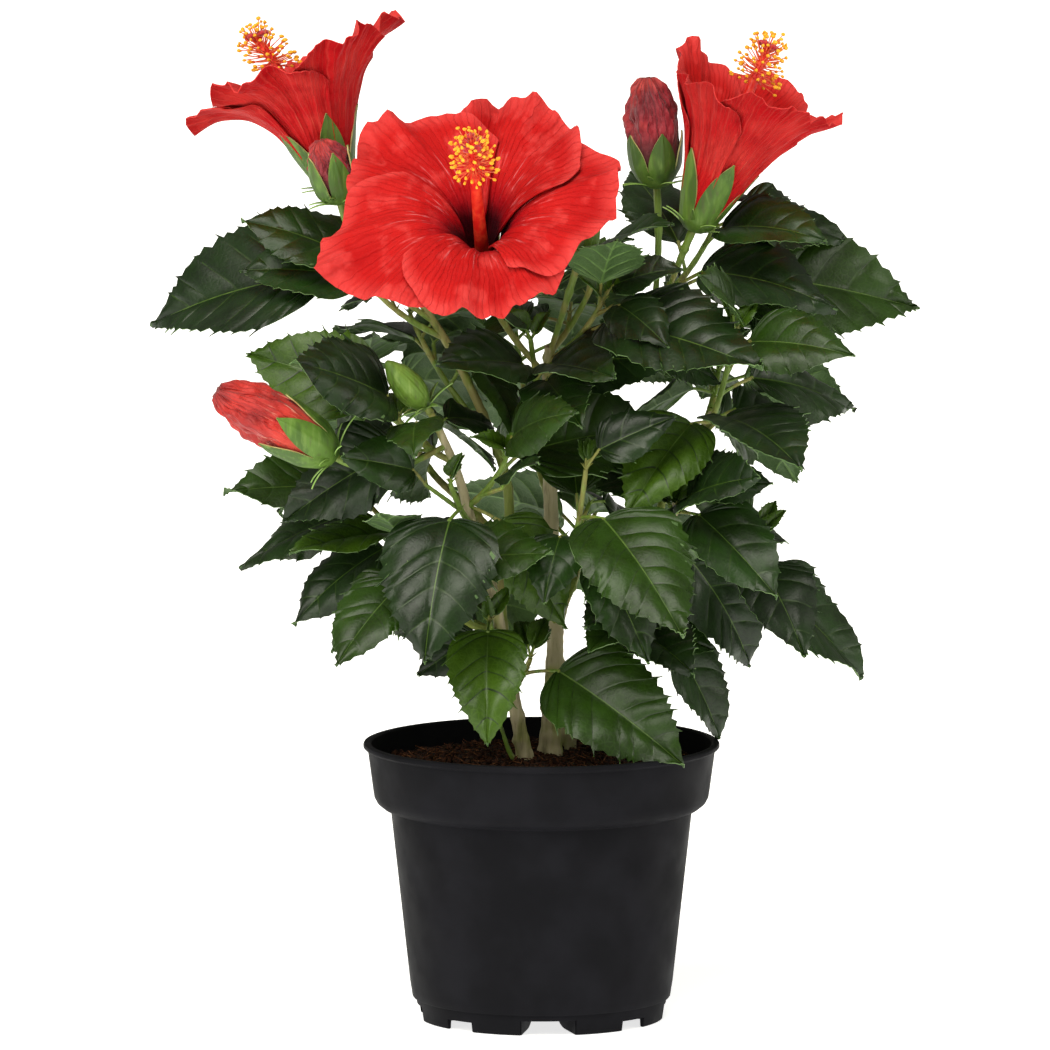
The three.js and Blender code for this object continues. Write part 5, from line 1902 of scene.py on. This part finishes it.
@dataclass(frozen=True)
class Bud(Flower):
    """A closed bud. One whose petals show stands in a calyx that covers a share of it."""

    length: float = 20.0
    radius: float = 5.0
    cover: float = 0.0
    furled: Finish | None = None

    GREEN = ((0.0, 0.35), (0.06, 0.6), (0.22, 0.9), (0.45, 1.0), (0.74, 0.78), (0.96, 0.3), (1.0, 0.08))
    FURLED = (
        (0.0, 0.25), (0.06, 0.5), (0.2, 0.86), (0.45, 1.0), (0.72, 0.93), (0.92, 0.62), (0.97, 0.46),
        (1.0, 0.2),
    )

    def skin(self, height: Array) -> Array:
        """Returns the bud's radius at heights in millimetres, its outline rounded off."""
        places, widths = np.array(self.FURLED if self.furled else self.GREEN).T
        offsets = (-0.04, -0.02, 0.0, 0.02, 0.04)
        rounded = [np.interp(np.clip(height / self.length + o, 0, 1), places, widths) for o in offsets]
        return self.radius * sum(rounded) / len(offsets)

    def body(self) -> tuple[Array, Array, Array]:
        """Returns the bud's middle line, its radii and how far each point of its skin stands out."""
        steps, sides = 60, 75
        share = np.linspace(0, 1, steps + 1)
        radii = self.skin(share * self.length)
        path = np.stack([np.zeros(steps + 1), np.zeros(steps + 1), share * self.length], -1)
        angle = ring_angles(sides)[None]
        rows = share[:, None]
        if self.furled:
            saw = np.mod((angle / (2 * np.pi)) * 5 + 1.1 * rows + 0.12 * np.sin(2 * angle), 1.0)
            relief = 0.32 * (smooth(saw, 0, 0.93) - saw**30 - 0.5) * smooth(rows, 0.34, 0.58)
            fine = np.sin(31 * angle + 22 * rows + 3 * np.sin(4 * angle)) + np.sin(19 * angle - 30 * rows)
            fine = fine + 1.6 * np.sin(12 * angle + 5 * np.sin(9 * rows + 2 * angle))
            relief = relief + 0.03 * fine * smooth(rows, 0.3, 0.7)
            relief = relief + 0.34 * np.sin(7 * angle + 9 * rows) * smooth(rows, 0.8, 1.0)
            sway = np.stack([0.9 * np.sin(5 * share), 0.7 * np.sin(4 * share + 1), 0 * share], -1)
            path = path + sway * rows
        else:
            relief = 0.09 * (np.abs(np.sin(2.5 * angle)) ** 0.6) * np.sin(np.pi * rows)
            relief = relief + 0.02 * np.sin(25 * angle)
        return path, radii, relief * radii[:, None]

    def add_to(self, furled: MeshDraft, green: MeshDraft) -> None:
        """Adds the bud's body to the furled petals or to the green buds."""
        path, radii, relief = self.body()
        draft = furled if self.furled else green
        draft.add_tube(self.placed(path), radii, self.furled or GREEN_BUD, relief.shape[1], relief)


def add_calyx(draft: MeshDraft, flower: Flower, size: float, cup: float, tip: float, within: Array) -> None:
    """Adds a calyx: a cup with pointed lobes, ribbed down their middles.

    Args:
        draft: The draft to add to.
        flower: The flower whose foot it stands on.
        size: Its size, as a share of a full one.
        cup: The radius of its cup.
        tip: How far from the axis the tips of its lobes stand.
        within: The radius of what it holds, at the height of each of its rows.
    """
    along = CALYX.rows()[:, None]
    across = np.linspace(-1, 1, 15)[None, :]
    foot = CALYX.base * size
    widths = [0.2, 0.62 * foot, foot, 1.2 * foot, cup, 1.08 * cup, tip]
    radius = np.interp(along, [0, 0.02, 0.06, 0.16, 0.34, 0.46, 1], widths)
    radius = np.maximum(radius, (within[:, None] + 1.3) * smooth(along, 0.0, 0.12))
    lobe = np.clip((along - CALYX.fused) / (1 - CALYX.fused), 0, 1)
    shape = np.where(along < CALYX.fused, 1.0, (1 - lobe**1.7) * (1 + 0.25 * lobe))
    narrowing = (cup / np.maximum(radius, cup)) ** 0.7
    for k in range(CALYX.lobes):
        turn = np.radians(360 / CALYX.lobes * k + across * 37 * np.maximum(shape, 0.02) * narrowing)
        keel = 0.5 * np.exp(-((across / 0.1) ** 2)) * smooth(along, 0.08, 0.4) * (1 - 0.6 * along)
        side = 0.22 * np.exp(-(((np.abs(across) - 0.5) / 0.08) ** 2)) * smooth(along, 0.1, 0.4) * (1 - along)
        r = radius + keel + side
        grid = flower.placed(polar(r, turn, CALYX.length * size * (1.06 * along - 0.06)))
        outward = grid[12, 7] - (vec(*flower.base) + flower.axis() * CALYX.length * size * 0.4)
        if np.dot(normals_of(grid)[12, 7], outward) < 0:
            grid = grid[:, ::-1]
        draft.add_sheet(grid, CALYX.thickness, SEPAL, SEPAL_INSIDE, SEPAL_EDGE, span_of(across, along))


def add_bracts(draft: MeshDraft, flower: Flower, bracts: Bracts, foot: float) -> None:
    """Adds the ring of bracts under a calyx, whose foot has a radius."""
    along = np.linspace(0, 1, 11)
    for k in range(bracts.count):
        heading = 360 / bracts.count * k + 11 * math.sin(5 * k)
        length = bracts.length * (1 + 0.15 * math.sin(3 * k + 1))
        path = [towards(heading, 0) * foot * 0.75]
        for share in along[1:]:
            tilt = 90 - (bracts.spread + bracts.curl * share + 12 * math.sin(2 * k + 1))
            path.append(path[-1] + towards(heading, tilt) * length / (len(along) - 1))
        points = np.array(path)
        half = bracts.width / 2 * np.minimum(1, 0.7 + 2 * along) * (1 - along**2.2)
        side = towards(heading + 90, 0)
        lift = np.cross(unit(np.gradient(points, axis=0)), side)
        across = np.linspace(-1, 1, 5)
        grid = points[:, None] + side * (across[None, :] * np.maximum(half, 0.06)[:, None])[..., None]
        grid = grid + lift[:, None] * (0.25 * (across**2)[None, :, None] * half[:, None, None])
        grid = flower.placed(grid)
        draft.add_sheet(grid, bracts.thickness, SEPAL, SEPAL, SEPAL_INSIDE)


BLOOMS = (
    Bloom(
        "bloom_front", "stem_middle", 0.9, (-21, -22, 279), 264, 50, -10,
        20, (0.15, 0.8), (70, 65, 67, 72, 54), (78, 82, 90, 112, 106), 4.2, 60, 0.72,
    ),
    Bloom(
        "bloom_left", "bough_middle", 1.0, (-74, 8, 303), 160, 70, 20,
        22, (0.3, 1.1), (69, 58, 62, 63, 62), (70, 56, 98, 76, 56), 2.5, 62, 1.0, (-9, 0, -5),
    ),
    Bloom(
        "bloom_right", "bough_right_top", 1.0, (55, 4, 289), 12, 67, 0,
        19, (0.3, 1.1), (65, 70, 68, 56, 62), (50, 42, 38, 44, 48), 1.6, 70, 1.0,
    ),
)
LARGEST_BUD = 9.8  # radius
BUDS = (
    Bud("bud_left", "stem_left", 0.92, (-75, -38, 211), 188, 31, 49, LARGEST_BUD, 0.55, FURLED_BRIGHT),
    Bud("bud_top", "bough_right_top", 0.8, (42, 18, 303), 175, 86, 40, 9.4, 0.5, FURLED_DARK),
    Bud("bud_by_bloom", "bough_middle", 0.92, (-73, -8, 300), 200, 74, 24, 7.4, 0.82, FURLED_DARK),
    Bud("bud_green", "stem_left", 1.0, (-42, -29, 228), 205, 48, 23, 5.4),
    Bud("bud_young_top", "stem_middle", 0.97, (14, -8, 280), 340, 72, 17, 4.6),
    Bud("bud_young_low", "bough_left_low", 0.6, (-45, -45, 171), 160, 72, 13, 3.6),
)


@dataclass
class Blossom:
    """All blooms and buds. Their stalks join the twigs."""

    foliage: Foliage
    calyces: MeshDraft = field(default_factory=MeshDraft)
    furled: MeshDraft = field(default_factory=MeshDraft)
    green: MeshDraft = field(default_factory=MeshDraft)
    stamens: MeshDraft = field(default_factory=MeshDraft)

    def build(self) -> None:
        """Makes the petals bloom by bloom, and the rest joined kind by kind."""
        for bloom in BLOOMS:
            bloom.corolla().piece(bloom.name.replace("bloom", "petals"), "petal", [bloom.name], sharp=70)
            merge(self.stamens, bloom.stamens())
            held = bloom.tube_skin(CALYX.rows() * CALYX.length * bloom.calyx)
            add_calyx(self.calyces, bloom, bloom.calyx, CALYX.cup, CALYX.tip, held)
            add_bracts(self.calyces, bloom, Bracts(), CALYX.base)
            self.foliage.add_twig(bloom.pedicel(), (1.0, 1.6), joint=0.7)
        for bud in BUDS:
            bud.add_to(self.furled, self.green)
            scale = bud.radius / LARGEST_BUD
            foot = bud.radius * 0.6
            if bud.cover:
                size = bud.length * bud.cover / CALYX.length
                held = bud.skin(CALYX.rows() * CALYX.length * size)
                add_calyx(self.calyces, bud, size, bud.radius * 0.88, bud.radius * 1.12, held)
                foot = CALYX.base * size
            add_bracts(self.calyces, bud, Bracts(length=lerp(7, 12, scale), spread=58), foot)
            self.foliage.add_twig(bud.pedicel(), (1.0, 1.5), joint=0.7)
        self.stamens.piece("stamens", "petal", sharp=70)
        self.calyces.piece("calyces_and_bracts", "bud", sharp=60)
        self.furled.piece("furled_petals", "petal", [bud.name for bud in BUDS if bud.furled], sharp=60)
        self.green.piece("green_buds", "bud", [bud.name for bud in BUDS if not bud.furled], sharp=60)


# ---- studio ----


LAMP_WHITE = "#FFFCF1"


@dataclass(frozen=True)
class Studio:
    """A white floor lit from below, soft light from above and in front, and the camera."""

    target: Place = (-6.0, 0.0, 181.0)  # mm
    distance: float = 5000.0
    elevation: float = 7.4  # degrees
    view_width: float = 382.3  # mm from side to side, at the target
    sensor: float = 36.0
    floor_size: float = 60.0  # metres
    ceiling: float = 2.8  # watts to the square metre
    ceiling_spread: float = 45.0  # degrees
    ceiling_aim: Place = (0.22, 0.6, -1.0)
    sky: float = 0.22
    lit: Place = (0.0, 0.0, 0.2)  # metres; what the soft boxes shine on
    floor_drop: float = 0.0002  # metres below the pot's foot

    def add_floor(self) -> None:
        """Adds the floor that the pot stands on."""
        bpy.ops.mesh.primitive_plane_add(size=self.floor_size, location=(0, 0, -self.floor_drop))
        floor = bpy.context.object
        floor.name = "studio_floor"
        floor.data.materials.append(STUDIO_FLOOR.material())

    def add_lamp(self, name: str, kind: str, aim: Vector) -> bpy.types.Object:
        """Adds a lamp of a kind that shines along a direction."""
        data = bpy.data.lights.new(name, kind)
        data.color = linear(LAMP_WHITE)[:3]
        lamp = bpy.data.objects.new(name, data)
        lamp.rotation_euler = aim.to_track_quat("-Z", "Y").to_euler()
        bpy.context.scene.collection.objects.link(lamp)
        return lamp

    def add_soft_box(self, name: str, place: Place, size: float, power: float) -> None:
        """Adds a square soft lamp that shines on the plant.

        Args:
            name: Its name.
            place: Where it hangs, in metres.
            size: How wide it is, in metres.
            power: Its power in watts.
        """
        lamp = self.add_lamp(name, "AREA", Vector(self.lit) - Vector(place))
        lamp.location = place
        lamp.data.energy, lamp.data.size, lamp.data.shape = power, size, "SQUARE"

    def add_ceiling(self) -> None:
        """Adds an even light from above and in front, as broad as a studio's ceiling of soft boxes."""
        lamp = self.add_lamp("ceiling_light", "SUN", Vector(self.ceiling_aim))
        lamp.data.energy, lamp.data.angle = self.ceiling, math.radians(self.ceiling_spread)

    def add_sky(self) -> None:
        """Sets the soft white light from all round, and shows colours as their hex values say."""
        world = bpy.data.worlds.new("studio")
        world.use_nodes = True
        background = world.node_tree.nodes["Background"]
        background.inputs["Color"].default_value = linear(LAMP_WHITE)
        background.inputs["Strength"].default_value = self.sky
        bpy.context.scene.world = world
        bpy.context.scene.view_settings.view_transform = "Standard"

    def add_camera(self) -> None:
        """Adds the camera, a little above the plant's middle and with no lens blur."""
        data = bpy.data.cameras.new("camera")
        data.sensor_width = self.sensor
        data.lens = self.sensor * self.distance / self.view_width
        data.clip_start, data.clip_end = 0.1, 100
        data.dof.use_dof = False
        camera = bpy.data.objects.new("camera", data)
        target = Vector(self.target) * MM
        rise = math.radians(self.elevation)
        back = Vector((0, -math.cos(rise), math.sin(rise)))
        camera.location = target + back * self.distance * MM
        camera.rotation_euler = (-back).to_track_quat("-Z", "Y").to_euler()
        bpy.context.scene.collection.objects.link(camera)
        bpy.context.scene.camera = camera

    def build(self) -> None:
        """Adds the floor, lamps, sky and camera."""
        self.add_floor()
        self.add_ceiling()
        self.add_soft_box("key_soft_box", (-1.1, -1.2, 0.9), 0.8, 9)
        self.add_soft_box("side_soft_box", (1.4, -0.4, 0.9), 0.7, 6)
        self.add_sky()
        self.add_camera()


# ---- assembly ----


def main() -> None:
    """Builds the pot, the filling, the shrub and the studio, in that order, and notes the size."""
    logging.basicConfig(level=logging.INFO, format="%(name)s: %(message)s")
    NurseryPot().build()
    PeatFill().build()
    Framework().build()
    foliage = Foliage()
    foliage.build()
    Blossom(foliage).build()
    foliage.twigs.piece("twigs", "bough")
    Studio().build()


if __name__ == "__main__":
    main()
